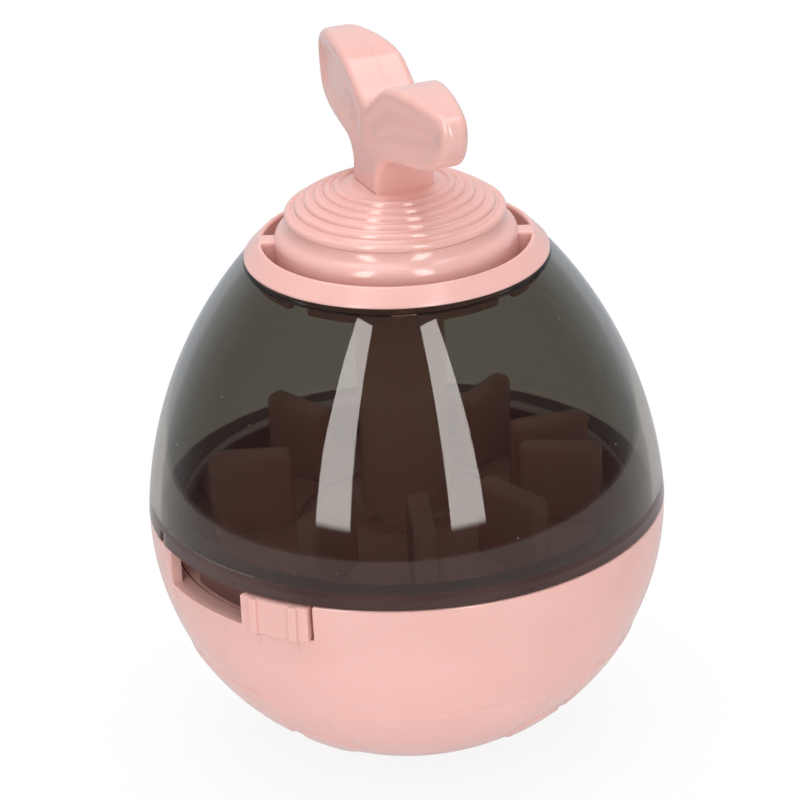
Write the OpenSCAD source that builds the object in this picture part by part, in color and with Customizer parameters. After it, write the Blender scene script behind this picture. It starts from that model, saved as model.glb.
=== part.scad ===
// Treat dispensing ball: a weighted round base, a smoked dome with a feeding outlet in its skirt,
// a cap ring with air slots and a lift-out lid with a sprout-shaped knob.
// Millimetres, +Z up, origin at the centre of the foot; the outlet faces front left (-X, -Y).

/* [Body] */
// Widest diameter of the ball
body_d = 105; // [88:1:126]
// Diameter of the flat foot that the ball stands on
foot_d = 16; // [12:1:24]
// Wall of the base shell
base_wall = 2.4; // [2:0.1:2.9]
// Height of the seam above the widest plane
seam_rise = 1.5; // [1:0.1:3]
// Gap between the base rim and the dome
seam_gap = 0.2; // [0.1:0.05:0.3]

/* [Dome] */
// Height of the cap ring's seat above the widest plane
dome_h = 54.6; // [45:0.1:66]
// Outer diameter of the dome at the cap ring's seat
ring_d = 60.3; // [56:0.1:72]
// Drop of the centre of the dome's arc below the widest plane
arc_drop = 4.7; // [2:0.1:6]
// Wall of the dome
dome_wall = 2.3; // [1.9:0.1:2.8]
// Wall of the skirt that hangs inside the base
skirt_wall = 2; // [1.6:0.1:2.4]
// Angle that the dome turns to open the outlet
turn_open = 45; // [30:1:46]

/* [Outlet] */
// Angle around the ball where the outlet window starts
window_start = 205; // [200:1:208]
// Angle that the outlet window spans
window_span = 43.8; // [38:0.1:46]
// Height of the outlet window below the seam
window_h = 7.6; // [6.5:0.1:8.5]
// Width of the sill from the widest radius to its inner edge
sill_w = 4.7; // [4.5:0.1:5.5]
// Angle that the slider spans
slider_span = 16.2; // [14:0.1:20]
// Width of one grip rib on the slider
grip_w = 1.9; // [1.4:0.1:2.4]
// How far the grip ribs stand out from the slider
grip_t = 0.7; // [0.5:0.1:1.1]
// Number of opening marks below the sill
mark_count = 5; // [2:1:5]
// Angle from one opening mark to the next
mark_step = 10; // [8:0.5:10]

/* [Cap] */
// Width of the sloping band around the air slots
band_w = 3.7; // [3:0.1:4.5]
// Width of the air slots between the band and the collar
slot_w = 2.5; // [1.8:0.1:3.2]
// Height of the collar above the cap ring's seat
collar_h = 7.8; // [7:0.1:9]
// Width of the two bridges that carry the collar
bridge_w = 4.4; // [3:0.1:6]

/* [Lid] */
// Rise of the crown from its last rib to its top
crown_rise = 6.8; // [6:0.1:7.5]
// Height of the crown's flat top above the cap ring's seat
crown_h = 14.7; // [14.2:0.1:15]
// Number of ribs around the crown
rib_count = 6; // [3:1:7]
// Distance from the flat top to the first rib
rib_margin = 2.6; // [2.2:0.1:4]

/* [Sprout] */
// Reach of each leaf from the axis
leaf_reach = 32; // [26:0.5:36]
// Height of the leaf tips above the lid
leaf_h = 25; // [20:0.5:29]
// Thickness of the stem
stem_t = 12.5; // [11:0.1:13]
// Width of the stem
stem_w = 11.3; // [10:0.1:11.8]
// Thickness of the leaf tips
tip_t = 4.9; // [3:0.1:6]
// Angle around the lid that the leaves point along
leaf_angle = -68; // [-90:1:90]

/* [Inside] */
// Outer diameter of the centre column
column_d = 18; // [15:0.5:21.6]
// Gap from the top of the column to the cap ring's seat
column_drop = 3; // [1:0.5:8]
// Rise of the tray's floor from its rim to its hub
tray_rise = 4; // [3:0.1:5]
// Height of the maze fins above the seam
fin_h = 11.6; // [8:0.1:16]
// Thickness of a maze fin
fin_t = 4.8; // [3.6:0.1:6]
// Distance from the column to the fins
fin_in_gap = 14; // [11:0.5:16]
// Distance from the fins to the dome's skirt
fin_out_gap = 5.2; // [4.8:0.1:7]
// Diameter of the ballast weight's cover
cover_d = 62; // [54:1:66]
// Thickness of the ballast weight's cover
cover_t = 2; // [1.6:0.1:2.6]

/* [Hidden] */
$fn = 96;

// Colours of the finished pieces
pink = [0.93, 0.74, 0.71];
smoke = [0.30, 0.31, 0.27, 0.55];
steel = [0.62, 0.62, 0.62];
iron = [0.35, 0.35, 0.36];

// Overrun of every cut, gap between moving pieces and gap between pieces that only meet
over = 1;
run_gap = 0.3;
seat_gap = 0.05;

// Base shell: radii, the seam and the ledge that carries the tray
body_r = body_d / 2;
wide_z = sqrt(pow(body_r, 2) - pow(foot_d / 2, 2));
seam_z = wide_z + seam_rise;
cavity_r = body_r - base_wall;
sill_z = seam_z - window_h;
sill_in_r = body_r - sill_w;
flange_t = 2;
ledge_w = 2.5;
ledge_t = 1.5;
tray_top_z = sill_z - run_gap;
tray_seat_z = tray_top_z - flange_t;
ledge_in_r = sill_in_r - ledge_w;
window_end = window_start + window_span;

// Pads raised on the base: five wide trapezoids with round corners, and a round one below each gap
pad_count = 5;
pad_turn = 276.4;
pad_rise = 0.4;
pad_corner = 4.2;
pad_low_share = 0.212;
pad_high_share = 0.525;
pad_low_w_share = 0.275;
pad_high_w_share = 0.392;
dot_r = 6;
dot_drop = 48;

// Opening marks: small bars on the shell below the sill
mark_w = 0.8;
mark_len = 2.1;
mark_drop = 1.2;
mark_rise = 0.2;

// Slider: its margin in the window, the plate before the sill and the tail behind the wall
slider_margin = 0.8;
face_t = 0.6;
panel_margin = 2.3;
tail_span = 31;
tail_h = 2.6;

// Turning lock between the dome and the base
lock_count = 3;
lock_t = 2;
lock_span = 62;
lock_margin = 6;
lock_start = window_end + lock_margin;
lug_span = 14;
lug_margin = 1;
stop_span = 2;
lock_top_z = seam_z - run_gap;
lock_low_z = lock_top_z - lock_t;
lug_top_z = lock_low_z - run_gap;
lug_low_z = lug_top_z - lock_t;

// Dome: an arc from the seam to the cap ring's seat
skirt_out_r = sill_in_r - 2 * run_gap;
skirt_in_r = skirt_out_r - skirt_wall;
skirt_low_z = sill_z;
dome_low_z = seam_z + seam_gap;
ring_z = wide_z + dome_h;
ring_r = ring_d / 2;
seam_proud = 0.1;
dome_seam_r = sqrt(pow(body_r, 2) - pow(seam_rise, 2)) + seam_proud;
low_rise = seam_rise + seam_gap + arc_drop;
high_rise = dome_h + arc_drop;
arc_x = (pow(dome_seam_r, 2) + pow(low_rise, 2) - pow(ring_r, 2) - pow(high_rise, 2))
        / (2 * (dome_seam_r - ring_r));
arc_z = wide_z - arc_drop;
arc_r = sqrt(pow(dome_seam_r - arc_x, 2) + pow(low_rise, 2));
shoulder_t = 2.4;
outlet_margin = 3.5;
outlet_drop = 1;
outlet_top_z = seam_z - outlet_drop;

// Two small marks on the dome's lower edge: a notch and a fine line
notch_angle = 201.3;
notch_w = 0.8;
notch_h = 2.4;
notch_depth = 0.7;
line_angle = 249.2;
line_w = 0.25;
line_depth = 0.3;

// Cap ring: the sloping band, the snap skirt, the collar and its bridges
band_edge = 0.4;
band_proud = 0.15;
band_out_r = ring_r + band_proud;
slot_out_r = band_out_r - band_w;
collar_r = slot_out_r - slot_w;
snap_wall = 1.4;
snap_h = 4.4;
snap_count = 8;
snap_cut = 10;
snap_turn = 272;
snap_out_r = slot_out_r + snap_wall;
bore_r = snap_out_r + seat_gap;
collar_neck = 2.7;
collar_wall = 0.85;
collar_base = 1;
collar_skirt_t = 1.4;
collar_skirt_h = 2.3;
collar_low_z = ring_z + collar_base;
collar_top_z = ring_z + collar_h;
collar_neck_r = collar_r - collar_neck;
collar_foot_h = 4.7;
flare_h = collar_h - collar_foot_h;
flare_r = (pow(collar_neck, 2) + pow(flare_h, 2)) / (2 * collar_neck);
throat_r = collar_neck_r - collar_wall;
band_top_z = ring_z + band_edge + band_out_r - slot_out_r;
bridge_top_z = band_top_z - band_edge;

// Lid: crown, ribs and the plug that fills the throat
lid_low_z = collar_top_z + seat_gap;
flat_z = ring_z + crown_h;
flat_drop = 1.05;
rib_r = 0.85;
rib_sink = 0.25;
rib_inset = 0.35;
rib_last_r = collar_neck_r - rib_inset;
crown_r = (pow(rib_last_r, 2) + pow(crown_rise, 2)) / (2 * crown_rise);
crown_z = flat_z + flat_drop - crown_r;
flat_r = sqrt(pow(crown_r, 2) - pow(crown_r - flat_drop, 2));
rib_pitch = (rib_last_r - flat_r - rib_margin) / (rib_count - 1);
plug_r = throat_r - run_gap;
plug_wall = 1.6;
plug_h = 6;
lid_wall = 2;
lid_roof_t = 2.6;
socket_t = 0.6;
stem_gap = 0.15;

// Sprout: shares of the reach and of the height, read from the stem round both leaves, and the
// place along a leaf, as a share of its reach, where its taper gets steeper
leaf_shares = [[0.20, 0.16], [0.27, 0.27], [0.42, 0.34], [0.70, 0.39], [0.89, 0.50], [1.0, 0.68],
               [0.98, 0.85], [0.86, 0.915], [0.60, 0.95], [0.36, 0.93], [0.21, 0.83],
               [0.12, 0.745], [0.04, 0.70], [-0.045, 0.745], [-0.145, 0.84], [-0.26, 0.93],
               [-0.45, 0.98], [-0.75, 0.98], [-0.92, 0.915], [-1.0, 0.80], [-0.985, 0.58],
               [-0.90, 0.42], [-0.72, 0.35], [-0.45, 0.32], [-0.26, 0.28], [-0.185, 0.17]];
taper_share = 0.6;
taper_drop_share = 0.36;
curve_steps = 4;
part_gap = 0.1;

// Inside of the base: hub, column, fins, ballast and their screws
tray_t = 1.8;
hub_wall = 2.3;
hub_r = column_d / 2 + hub_wall;
hub_h = 2.6;
hub_floor_drop = 1;
hub_floor_t = 2.2;
hub_top_z = tray_top_z + tray_rise + hub_h;
hub_floor_z = tray_top_z + tray_rise - hub_floor_drop;
rim_w = 3.5;
rim_in_r = sill_in_r - run_gap - rim_w;
tray_slope = tray_rise / (rim_in_r - hub_r);
column_wall = 1.8;
column_foot_t = 4;
column_top_z = ring_z - column_drop;
foot_slot_w = 4;
foot_slot_h = 1.6;
foot_slot_turn = 237;
plate_t = 1.2;
plate_margin = 1;
fin_corner = 2.5;
fin_top_z = seam_z + fin_h;
fin_angles = [18, 57, 96, 134, 183, 240, 275, 311, 354];
boss_r = 3.2;
cover_edge_gap = 0.3;
cover_z = wide_z - sqrt(pow(cavity_r, 2) - pow(cover_d / 2 + cover_edge_gap, 2));
cover_screw_inset = 5;
cover_screw_r = cover_d / 2 - cover_screw_inset;
ballast_r = cover_screw_r - boss_r - 2 * run_gap;
tray_screw_inset = 5.6;
tray_screw_r = sill_in_r - tray_screw_inset;
tray_screw_angles = [41.5, 149.5, 293];
pad_r = 2.9;
pad_top_z = tray_z(tray_screw_r - pad_r);
fin_in_r = column_d / 2 + fin_in_gap;
fin_out_r = skirt_in_r - fin_out_gap;

// Screws: shank, head and the pilot hole that each is driven into
shank_r = 1.3;
pilot_r = shank_r + seat_gap;
screw_hole_r = 1.6;
head_r = 2.4;
head_h = 1.7;
short_shank = 6;
long_shank = 9;

function tray_z(r) = tray_top_z + tray_slope * (rim_in_r - r);

// A smooth curve through the points: four places on it from one point to the next
function blend(a, b, c, d, t) =
    (2 * b + t * (c - a) + t * t * (2 * a - 5 * b + 4 * c - d) + t * t * t * (3 * b - a - 3 * c + d)) / 2;
function smooth(points) = [
    for (i = [0 : len(points) - 2], k = [0 : curve_steps - 1])
        blend(points[max(i - 1, 0)], points[i], points[i + 1], points[min(i + 2, len(points) - 1)],
              k / curve_steps)
];

// A ring sector between two radii, two heights and two angles
module sector(r_in, r_out, z_low, z_high, from, span) {
  rotate([0, 0, from])
    rotate_extrude(angle = span)
      translate([r_in, z_low])
        square([r_out - r_in, z_high - z_low]);
}

module disc(r, z_low, z_high) {
  translate([0, 0, z_low])
    cylinder(r = r, h = z_high - z_low);
}

// A pan head screw whose head rests on z = 0 and whose shank points down
module screw(shank) {
  color(steel)
    difference() {
      union() {
        translate([0, 0, -shank])
          cylinder(r = shank_r, h = shank);
        cylinder(r1 = head_r, r2 = head_r - head_h / 3, h = head_h);
      }
      for (a = [0, 90])
        rotate([0, 0, a])
          translate([-head_r / 2, -shank_r / 6, head_h / 2])
            cube([head_r, shank_r / 3, head_h]);
    }
}

// Section of the base shell from the axis outwards
module base_section() {
  difference() {
    intersection() {
      translate([0, wide_z])
        circle(r = body_r);
      square([body_r + over, seam_z]);
    }
    intersection() {
      translate([0, wide_z])
        circle(r = cavity_r);
      polygon([[-over, base_wall], [body_r, base_wall],
               [body_r, tray_seat_z - ledge_t - sill_w - ledge_w],
               [ledge_in_r, tray_seat_z - ledge_t], [ledge_in_r, tray_seat_z],
               [-over, tray_seat_z]]);
    }
    translate([-over, tray_seat_z - seat_gap])
      square([ledge_in_r + over, flange_t]);
    translate([-over, tray_seat_z])
      square([sill_in_r + over, window_h + flange_t + over]);
    translate([-over, sill_z])
      square([cavity_r + over, window_h + over]);
  }
}

// Outline of one pad, drawn out sideways: a trapezoid with round corners
module pad_prism() {
  low_z = wide_z * pad_low_share;
  high_z = wide_z * pad_high_share;
  low_w = wide_z * pad_low_w_share - pad_corner;
  high_w = wide_z * pad_high_w_share - pad_corner;
  lean = atan2(high_w - low_w, high_z - low_z - 2 * pad_corner);
  side = [pad_corner * cos(lean), -pad_corner * sin(lean)];
  z0 = low_z + pad_corner;
  z1 = high_z - pad_corner;
  rotate([90, 0, 90])
    translate([0, 0, body_r / 2])
      linear_extrude(height = body_r)
        union() {
          polygon([[-low_w, z0 - pad_corner], [low_w, z0 - pad_corner],
                   [low_w + side[0], z0 + side[1]], [high_w + side[0], z1 + side[1]],
                   [high_w, z1 + pad_corner], [-high_w, z1 + pad_corner],
                   [-high_w - side[0], z1 + side[1]], [-low_w - side[0], z0 + side[1]]]);
          for (s = [-1, 1]) {
            translate([s * low_w, z0])
              circle(r = pad_corner);
            translate([s * high_w, z1])
              circle(r = pad_corner);
          }
        }
}

// The pads follow the round wall and are sunk into it, so that only their faces stand out
module pads() {
  for (i = [0 : pad_count - 1])
    difference() {
      intersection() {
        translate([0, 0, wide_z])
          sphere(r = body_r + pad_rise);
        union() {
          rotate([0, 0, pad_turn + 360 * i / pad_count])
            pad_prism();
          translate([0, 0, wide_z])
            rotate([0, 90 + dot_drop, pad_turn + 360 * (i + 0.5) / pad_count])
              translate([0, 0, body_r / 2])
                cylinder(r = dot_r, h = body_r);
        }
      }
      translate([0, 0, wide_z])
        sphere(r = body_r - base_wall / 2);
    }
}

module base_shell() {
  color(pink)
    difference() {
      union() {
        rotate_extrude()
          base_section();
        for (i = [0 : lock_count - 1]) {
          turn = lock_start + 360 * i / lock_count;
          sector(skirt_out_r + run_gap, cavity_r + base_wall / 2, lock_low_z, lock_top_z,
                 turn - stop_span, lock_span + stop_span);
          sector(skirt_out_r + run_gap, cavity_r + base_wall / 2, lug_low_z, lock_top_z,
                 turn - stop_span, stop_span);
        }
        pads();
        for (i = [0 : mark_count - 1])
          opening_mark(window_start + mark_step * i);
        intersection() {
          translate([0, 0, wide_z])
            sphere(r = cavity_r + base_wall / 2);
          base_bosses();
        }
      }
      sector(cavity_r - base_wall, body_r + over, sill_z, seam_z + over, window_start, window_span);
      for (a = [0 : 120 : 240])
        translate([cover_screw_r * cos(a), cover_screw_r * sin(a), cover_z - short_shank + cover_t])
          cylinder(r = pilot_r, h = short_shank);
      for (a = tray_screw_angles)
        translate([tray_screw_r * cos(a), tray_screw_r * sin(a), tray_seat_z - long_shank])
          cylinder(r = pilot_r, h = long_shank + over);
    }
}

// Posts for the ballast cover's screws and for the tray's screws
module base_bosses() {
  for (a = [0 : 120 : 240])
    translate([cover_screw_r * cos(a), cover_screw_r * sin(a), 0])
      cylinder(r = boss_r, h = cover_z);
  for (a = tray_screw_angles)
    translate([tray_screw_r * cos(a), tray_screw_r * sin(a), 0])
      cylinder(r = boss_r, h = tray_seat_z);
}

// A bar that follows the round wall, sunk into it so that only its face stands out
module opening_mark(a) {
  high_z = sill_z - mark_drop;
  span = mark_w / body_r * 180 / PI;
  intersection() {
    translate([0, 0, wide_z])
      sphere(r = body_r + mark_rise);
    sector(body_r - base_wall, body_r + over, high_z - mark_len, high_z, a - span / 2, span);
  }
}

module ballast_weight() {
  color(iron)
    intersection() {
      translate([0, 0, wide_z])
        sphere(r = cavity_r - seat_gap);
      disc(ballast_r, base_wall + seat_gap, cover_z - seat_gap);
    }
}

module ballast_cover() {
  color(pink)
    difference() {
      disc(cover_d / 2, cover_z, cover_z + cover_t);
      for (a = [0 : 120 : 240])
        translate([cover_screw_r * cos(a), cover_screw_r * sin(a), cover_z - over])
          cylinder(r = screw_hole_r, h = cover_t + 2 * over);
    }
}

module ballast_screws() {
  for (a = [0 : 120 : 240])
    translate([cover_screw_r * cos(a), cover_screw_r * sin(a), cover_z + cover_t])
      screw(short_shank - 2 * seat_gap);
}

// The dished tray: flange on the ledge, sloping floor and a hub that holds the column
module food_tray() {
  rim_r = sill_in_r - run_gap;
  color(pink)
    difference() {
      union() {
        rotate_extrude()
          polygon([[0, hub_floor_z - hub_floor_t], [hub_r, hub_floor_z - hub_floor_t],
                   [rim_in_r, tray_seat_z], [rim_r, tray_seat_z], [rim_r, tray_top_z],
                   [rim_in_r, tray_top_z], [hub_r, tray_top_z + tray_rise], [hub_r, hub_top_z],
                   [column_d / 2 + seat_gap, hub_top_z], [column_d / 2 + seat_gap, hub_floor_z],
                   [0, hub_floor_z]]);
        for (a = tray_screw_angles)
          translate([tray_screw_r * cos(a), tray_screw_r * sin(a), tray_seat_z])
            cylinder(r = pad_r, h = pad_top_z - tray_seat_z);
      }
      disc(screw_hole_r, hub_floor_z - hub_floor_t - over, hub_floor_z + over);
      rotate([0, 0, foot_slot_turn])
        translate([0, -foot_slot_w / 2, hub_top_z - foot_slot_h])
          cube([hub_r + over, foot_slot_w, foot_slot_h + over]);
      for (a = tray_screw_angles)
        translate([tray_screw_r * cos(a), tray_screw_r * sin(a), tray_seat_z - over])
          cylinder(r = screw_hole_r, h = pad_top_z - tray_seat_z + 2 * over);
    }
}

module tray_screws() {
  for (a = tray_screw_angles)
    translate([tray_screw_r * cos(a), tray_screw_r * sin(a), pad_top_z])
      screw(long_shank);
}

// Side view of one fin: its foot follows the tray's slope and its two top corners are round
module fin_outline() {
  in_z = tray_z(fin_in_r) + seat_gap;
  out_z = tray_z(fin_out_r) + seat_gap;
  polygon([[fin_in_r, in_z], [fin_out_r, out_z], [fin_out_r, fin_top_z - fin_corner],
           [fin_out_r - fin_corner, fin_top_z], [fin_in_r + fin_corner, fin_top_z],
           [fin_in_r, fin_top_z - fin_corner]]);
  for (r = [fin_in_r + fin_corner, fin_out_r - fin_corner])
    translate([r, fin_top_z - fin_corner])
      circle(r = fin_corner);
}

// The maze: a sloping ring that lies on the tray and carries the upright fins
module maze_ring() {
  plate_in = fin_in_r - plate_margin;
  plate_out = fin_out_r - plate_margin;
  color(pink)
    union() {
      rotate_extrude()
        polygon([[plate_in, tray_z(plate_in) + seat_gap], [plate_out, tray_z(plate_out) + seat_gap],
                 [plate_out, tray_z(plate_out) + plate_t], [plate_in, tray_z(plate_in) + plate_t]]);
      for (a = fin_angles)
        rotate([0, 0, a])
          translate([0, fin_t / 2, 0])
            rotate([90, 0, 0])
              linear_extrude(height = fin_t)
                fin_outline();
    }
}

// The hollow column that stands in the hub; its foot is solid for the screw
module centre_column() {
  low_z = hub_floor_z + seat_gap;
  column_r = column_d / 2;
  color(pink)
    difference() {
      disc(column_r, low_z, column_top_z);
      disc(column_r - column_wall, low_z + column_foot_t, column_top_z - column_wall);
      disc(pilot_r, low_z - over, low_z + column_foot_t + over);
    }
}

module column_screw() {
  translate([0, 0, hub_floor_z - hub_floor_t])
    rotate([180, 0, 0])
      screw(short_shank);
}

// Section of the dome: curved wall, shoulder over the rim and the skirt inside it
module dome_section() {
  difference() {
    intersection() {
      translate([arc_x, arc_z])
        circle(r = arc_r);
      translate([0, dome_low_z])
        square([body_r + seam_rise, ring_z - dome_low_z]);
    }
    intersection() {
      translate([arc_x, arc_z])
        circle(r = arc_r - dome_wall);
      translate([-over, dome_low_z + shoulder_t])
        square([body_r + over, dome_h]);
    }
    translate([-over, dome_low_z - over])
      square([skirt_in_r + over, shoulder_t + 2 * over]);
    translate([-over, ring_z - dome_wall])
      square([bore_r + over, dome_wall + over]);
  }
  translate([skirt_in_r, skirt_low_z])
    square([skirt_wall, dome_low_z + shoulder_t - skirt_low_z]);
}

module dome_shell() {
  color(smoke)
    difference() {
      union() {
        rotate_extrude()
          dome_section();
        for (i = [0 : lock_count - 1])
          sector(skirt_in_r + skirt_wall / 2, cavity_r - run_gap, lug_low_z, lug_top_z,
                 lock_start + 360 * i / lock_count + lug_margin, lug_span);
      }
      sector(skirt_in_r - over, skirt_out_r + run_gap, skirt_low_z - over, outlet_top_z,
             window_start - outlet_margin - turn_open, turn_open);
      edge_mark(notch_angle, notch_w, notch_depth);
      edge_mark(line_angle, line_w, line_depth);
    }
}

// A short upright mark cut into the outside of the dome's lower edge
module edge_mark(a, w, depth) {
  span = w / body_r * 180 / PI;
  sector(dome_seam_r - depth, dome_seam_r + over, dome_low_z - over, dome_low_z + notch_h,
         a - span / 2, span);
}

// Section of the cap ring without its bridges: the sloping band and the flared collar, which has a
// thin skirt below it
module band_section() {
  polygon([[band_out_r, ring_z], [band_out_r, ring_z + band_edge], [slot_out_r, band_top_z],
           [slot_out_r, ring_z - snap_h], [snap_out_r, ring_z - snap_h], [snap_out_r, ring_z]]);
}

module collar_section() {
  difference() {
    translate([throat_r, collar_low_z])
      square([collar_r - throat_r, collar_top_z - collar_low_z]);
    translate([collar_neck_r + flare_r, collar_top_z])
      circle(r = flare_r);
  }
  translate([collar_r - collar_skirt_t, ring_z - collar_skirt_h])
    square([collar_skirt_t, collar_skirt_h + collar_base + over]);
}

module cap_ring() {
  color(pink)
    difference() {
      union() {
        rotate_extrude()
          band_section();
        rotate_extrude()
          collar_section();
        for (a = [0, 180])
          rotate([0, 0, a])
            translate([collar_r - collar_wall, -bridge_w / 2, collar_low_z])
              cube([slot_out_r - collar_r + 2 * collar_wall, bridge_w, bridge_top_z - collar_low_z]);
      }
      for (i = [0 : snap_count - 1])
        sector(slot_out_r - over, snap_out_r + over, ring_z - snap_h - over, ring_z - seat_gap,
               snap_turn + 360 * i / snap_count - snap_cut / 2, snap_cut);
    }
}

// Section of the lid: crown with ribs, flat roof and the plug below it
module lid_section() {
  intersection() {
    union() {
      intersection() {
        translate([0, crown_z])
          circle(r = crown_r);
        square([rib_last_r, flat_z]);
      }
      for (i = [0 : rib_count - 1]) {
        r = rib_last_r - rib_pitch * i;
        translate([r, crown_z + sqrt(pow(crown_r - rib_sink, 2) - pow(r, 2))])
          circle(r = rib_r);
      }
    }
    translate([0, lid_low_z])
      square([rib_last_r + over, crown_h]);
  }
  translate([plug_r - plug_wall, lid_low_z - plug_h])
    square([plug_wall, plug_h + lid_wall]);
}

module fill_lid() {
  color(pink)
    difference() {
      rotate_extrude()
        difference() {
          lid_section();
          intersection() {
            translate([0, crown_z])
              circle(r = crown_r - lid_wall);
            translate([-over, lid_low_z - over])
              square([plug_r - plug_wall + over, flat_z - lid_roof_t - lid_low_z + over]);
          }
        }
      rotate([0, 0, leaf_angle])
        translate([-stem_w / 2 - stem_gap, -stem_t / 2 - stem_gap, flat_z - socket_t])
          cube([stem_w + 2 * stem_gap, stem_t + 2 * stem_gap, socket_t + over]);
      sprout_holes(screw_hole_r, flat_z - lid_roof_t - over, lid_roof_t);
    }
}

// Two upright holes, one under each half of the stem
module sprout_holes(r, z_low, h) {
  rotate([0, 0, leaf_angle])
    for (s = [-1, 1])
      translate([0, s * stem_t / 4, z_low])
        cylinder(r = r, h = h + over);
}

// Outline of the sprout: a straight stem, then a smooth curve round both leaves
module sprout_outline() {
  curve = smooth([for (p = leaf_shares) [p[0] * leaf_reach, p[1] * leaf_h]]);
  last = leaf_shares[len(leaf_shares) - 1];
  low = -socket_t + seat_gap;
  polygon(concat([[-stem_w / 2, low], [stem_w / 2, low]], curve,
                 [[last[0] * leaf_reach, last[1] * leaf_h]]));
}

// One half of the sprout, on the side s of its parting plane; the leaves thin towards their tips,
// slowly by the stem and faster from the taper's place onwards
module sprout_half(s) {
  foot_z = flat_z - socket_t + seat_gap;
  bend = leaf_reach * taper_share;
  bend_t = stem_t - (stem_t - tip_t) * taper_drop_share;
  reach = leaf_reach + over;
  color(pink)
    difference() {
      translate([0, 0, flat_z])
        rotate([0, 0, leaf_angle])
          intersection() {
            translate([0, stem_t, 0])
              rotate([90, 0, 0])
                linear_extrude(height = 2 * stem_t)
                  sprout_outline();
            translate([0, 0, -over])
              linear_extrude(height = leaf_h + 2 * over)
                polygon([[-reach, s * part_gap / 2], [reach, s * part_gap / 2],
                         [reach, s * tip_t / 2], [bend, s * bend_t / 2],
                         [stem_w / 2, s * stem_t / 2], [-stem_w / 2, s * stem_t / 2],
                         [-bend, s * bend_t / 2], [-reach, s * tip_t / 2]]);
          }
      sprout_holes(pilot_r, foot_z - over, long_shank);
    }
}

module sprout_front() {
  sprout_half(-1);
}

module sprout_back() {
  sprout_half(1);
}

module sprout_screws() {
  rotate([0, 0, leaf_angle])
    for (s = [-1, 1])
      translate([0, s * stem_t / 4, flat_z - lid_roof_t])
        rotate([180, 0, 0])
          screw(long_shank);
}

// The outlet slider: a curved gate in the window, a ribbed grip before it and a guide tail
module outlet_slider() {
  end = window_end - slider_margin;
  start = end - slider_span;
  face_r = body_r + run_gap;
  grip_span = grip_w / body_r * 180 / PI;
  color(pink)
    union() {
      sector(cavity_r - run_gap, face_r + face_t / 2, sill_z + run_gap, seam_z - run_gap,
             start, slider_span);
      sector(face_r, face_r + face_t, sill_z, seam_z - run_gap, start, slider_span);
      for (s = [start + panel_margin, end - panel_margin - grip_span])
        sector(face_r, face_r + face_t + grip_t, sill_z, seam_z - run_gap,
               s, grip_span);
      sector(skirt_out_r + 2 * run_gap, cavity_r - run_gap, sill_z + run_gap, sill_z + tail_h,
             start, slider_span + tail_span);
    }
}

base_shell();
ballast_weight();
ballast_cover();
ballast_screws();
food_tray();
tray_screws();
maze_ring();
centre_column();
column_screw();
dome_shell();
cap_ring();
fill_lid();
sprout_front();
sprout_back();
sprout_screws();
outlet_slider();
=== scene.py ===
"""Treat dispensing ball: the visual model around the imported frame, its studio and its camera.

Lengths and places are millimetres and angles are degrees until a mesh is finished, then metres.
"""

import math

import bmesh
import bpy
import numpy as np
from mathutils import Matrix, Vector
from mathutils.geometry import delaunay_2d_cdt


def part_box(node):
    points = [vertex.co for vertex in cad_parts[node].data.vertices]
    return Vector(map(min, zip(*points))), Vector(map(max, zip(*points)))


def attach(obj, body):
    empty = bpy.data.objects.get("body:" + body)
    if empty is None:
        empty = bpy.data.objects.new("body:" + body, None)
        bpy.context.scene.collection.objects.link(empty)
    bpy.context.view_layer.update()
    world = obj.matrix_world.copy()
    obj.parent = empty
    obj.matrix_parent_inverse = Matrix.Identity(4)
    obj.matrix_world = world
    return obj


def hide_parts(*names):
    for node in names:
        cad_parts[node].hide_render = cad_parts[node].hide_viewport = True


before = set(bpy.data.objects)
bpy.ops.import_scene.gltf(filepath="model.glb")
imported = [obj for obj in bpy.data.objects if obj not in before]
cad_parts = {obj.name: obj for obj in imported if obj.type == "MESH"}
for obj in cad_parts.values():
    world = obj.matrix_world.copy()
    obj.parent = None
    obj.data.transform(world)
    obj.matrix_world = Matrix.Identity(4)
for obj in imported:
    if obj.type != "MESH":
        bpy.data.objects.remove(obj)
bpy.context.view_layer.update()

MM = 0.001
TURN = 360


def node_box(node):
    """Lowest and highest corners of a node, in millimetres."""
    low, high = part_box(node)
    return low / MM, high / MM


# Driving sizes, read from the frame
shell_high = node_box("base_shell")[1]
dome_low, dome_high = node_box("dome_shell")
band_low, band_high = node_box("cap_ring")
lid_low, lid_high = node_box("fill_lid")
column_low, column_high = node_box("centre_column")
maze_high = node_box("maze_ring")[1]

# Base shell: the window and the bands of rows lie between angles, and the pads' sizes follow the ball
FOOT_R = 8.0
WALL = 2.4
BODY_R = round(shell_high.x, 1)
WIDE_Z = math.sqrt(BODY_R**2 - FOOT_R**2)
SEAM_Z = shell_high.z
CAVITY_R = BODY_R - WALL
RUN_GAP = 0.3
SEAT_GAP = 0.05
SILL_Z = dome_low.z
SILL_IN_R = BODY_R - 4.7
TRAY_SEAT_Z = SILL_Z - 2.3
LEDGE_IN_R = SILL_IN_R - 2.5
LEDGE_T = 1.5
WINDOW = (205.0, 248.8)
LIP_RISE = 0.06
SHELL_STEPS = 560
CAVITY_ROWS = 10
SLOPE_LIFT = 0.6
WALL_LEAN = 0.02
PAD_LATITUDES = (-56, -26)
UPPER_LATITUDE = -9
LATITUDE_STEPS = (7, 58, 7, 9)
FINE_EDGE = 0.15
PAD_RISE = 0.4
PAD_COUNT = 5
PAD_TURN = 276.4
PAD_CORNER = 4.2
PAD_Z = (0.212 * WIDE_Z, 0.525 * WIDE_Z)
PAD_HALF_W = (0.275 * WIDE_Z, 0.392 * WIDE_Z)
PAD_EDGE = 0.75
DOT_R = 6.0
DOT_DROP = 48.0
MARK_W = 0.8
MARK_Z = (SILL_Z - 3.3, SILL_Z - 1.2)
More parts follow.
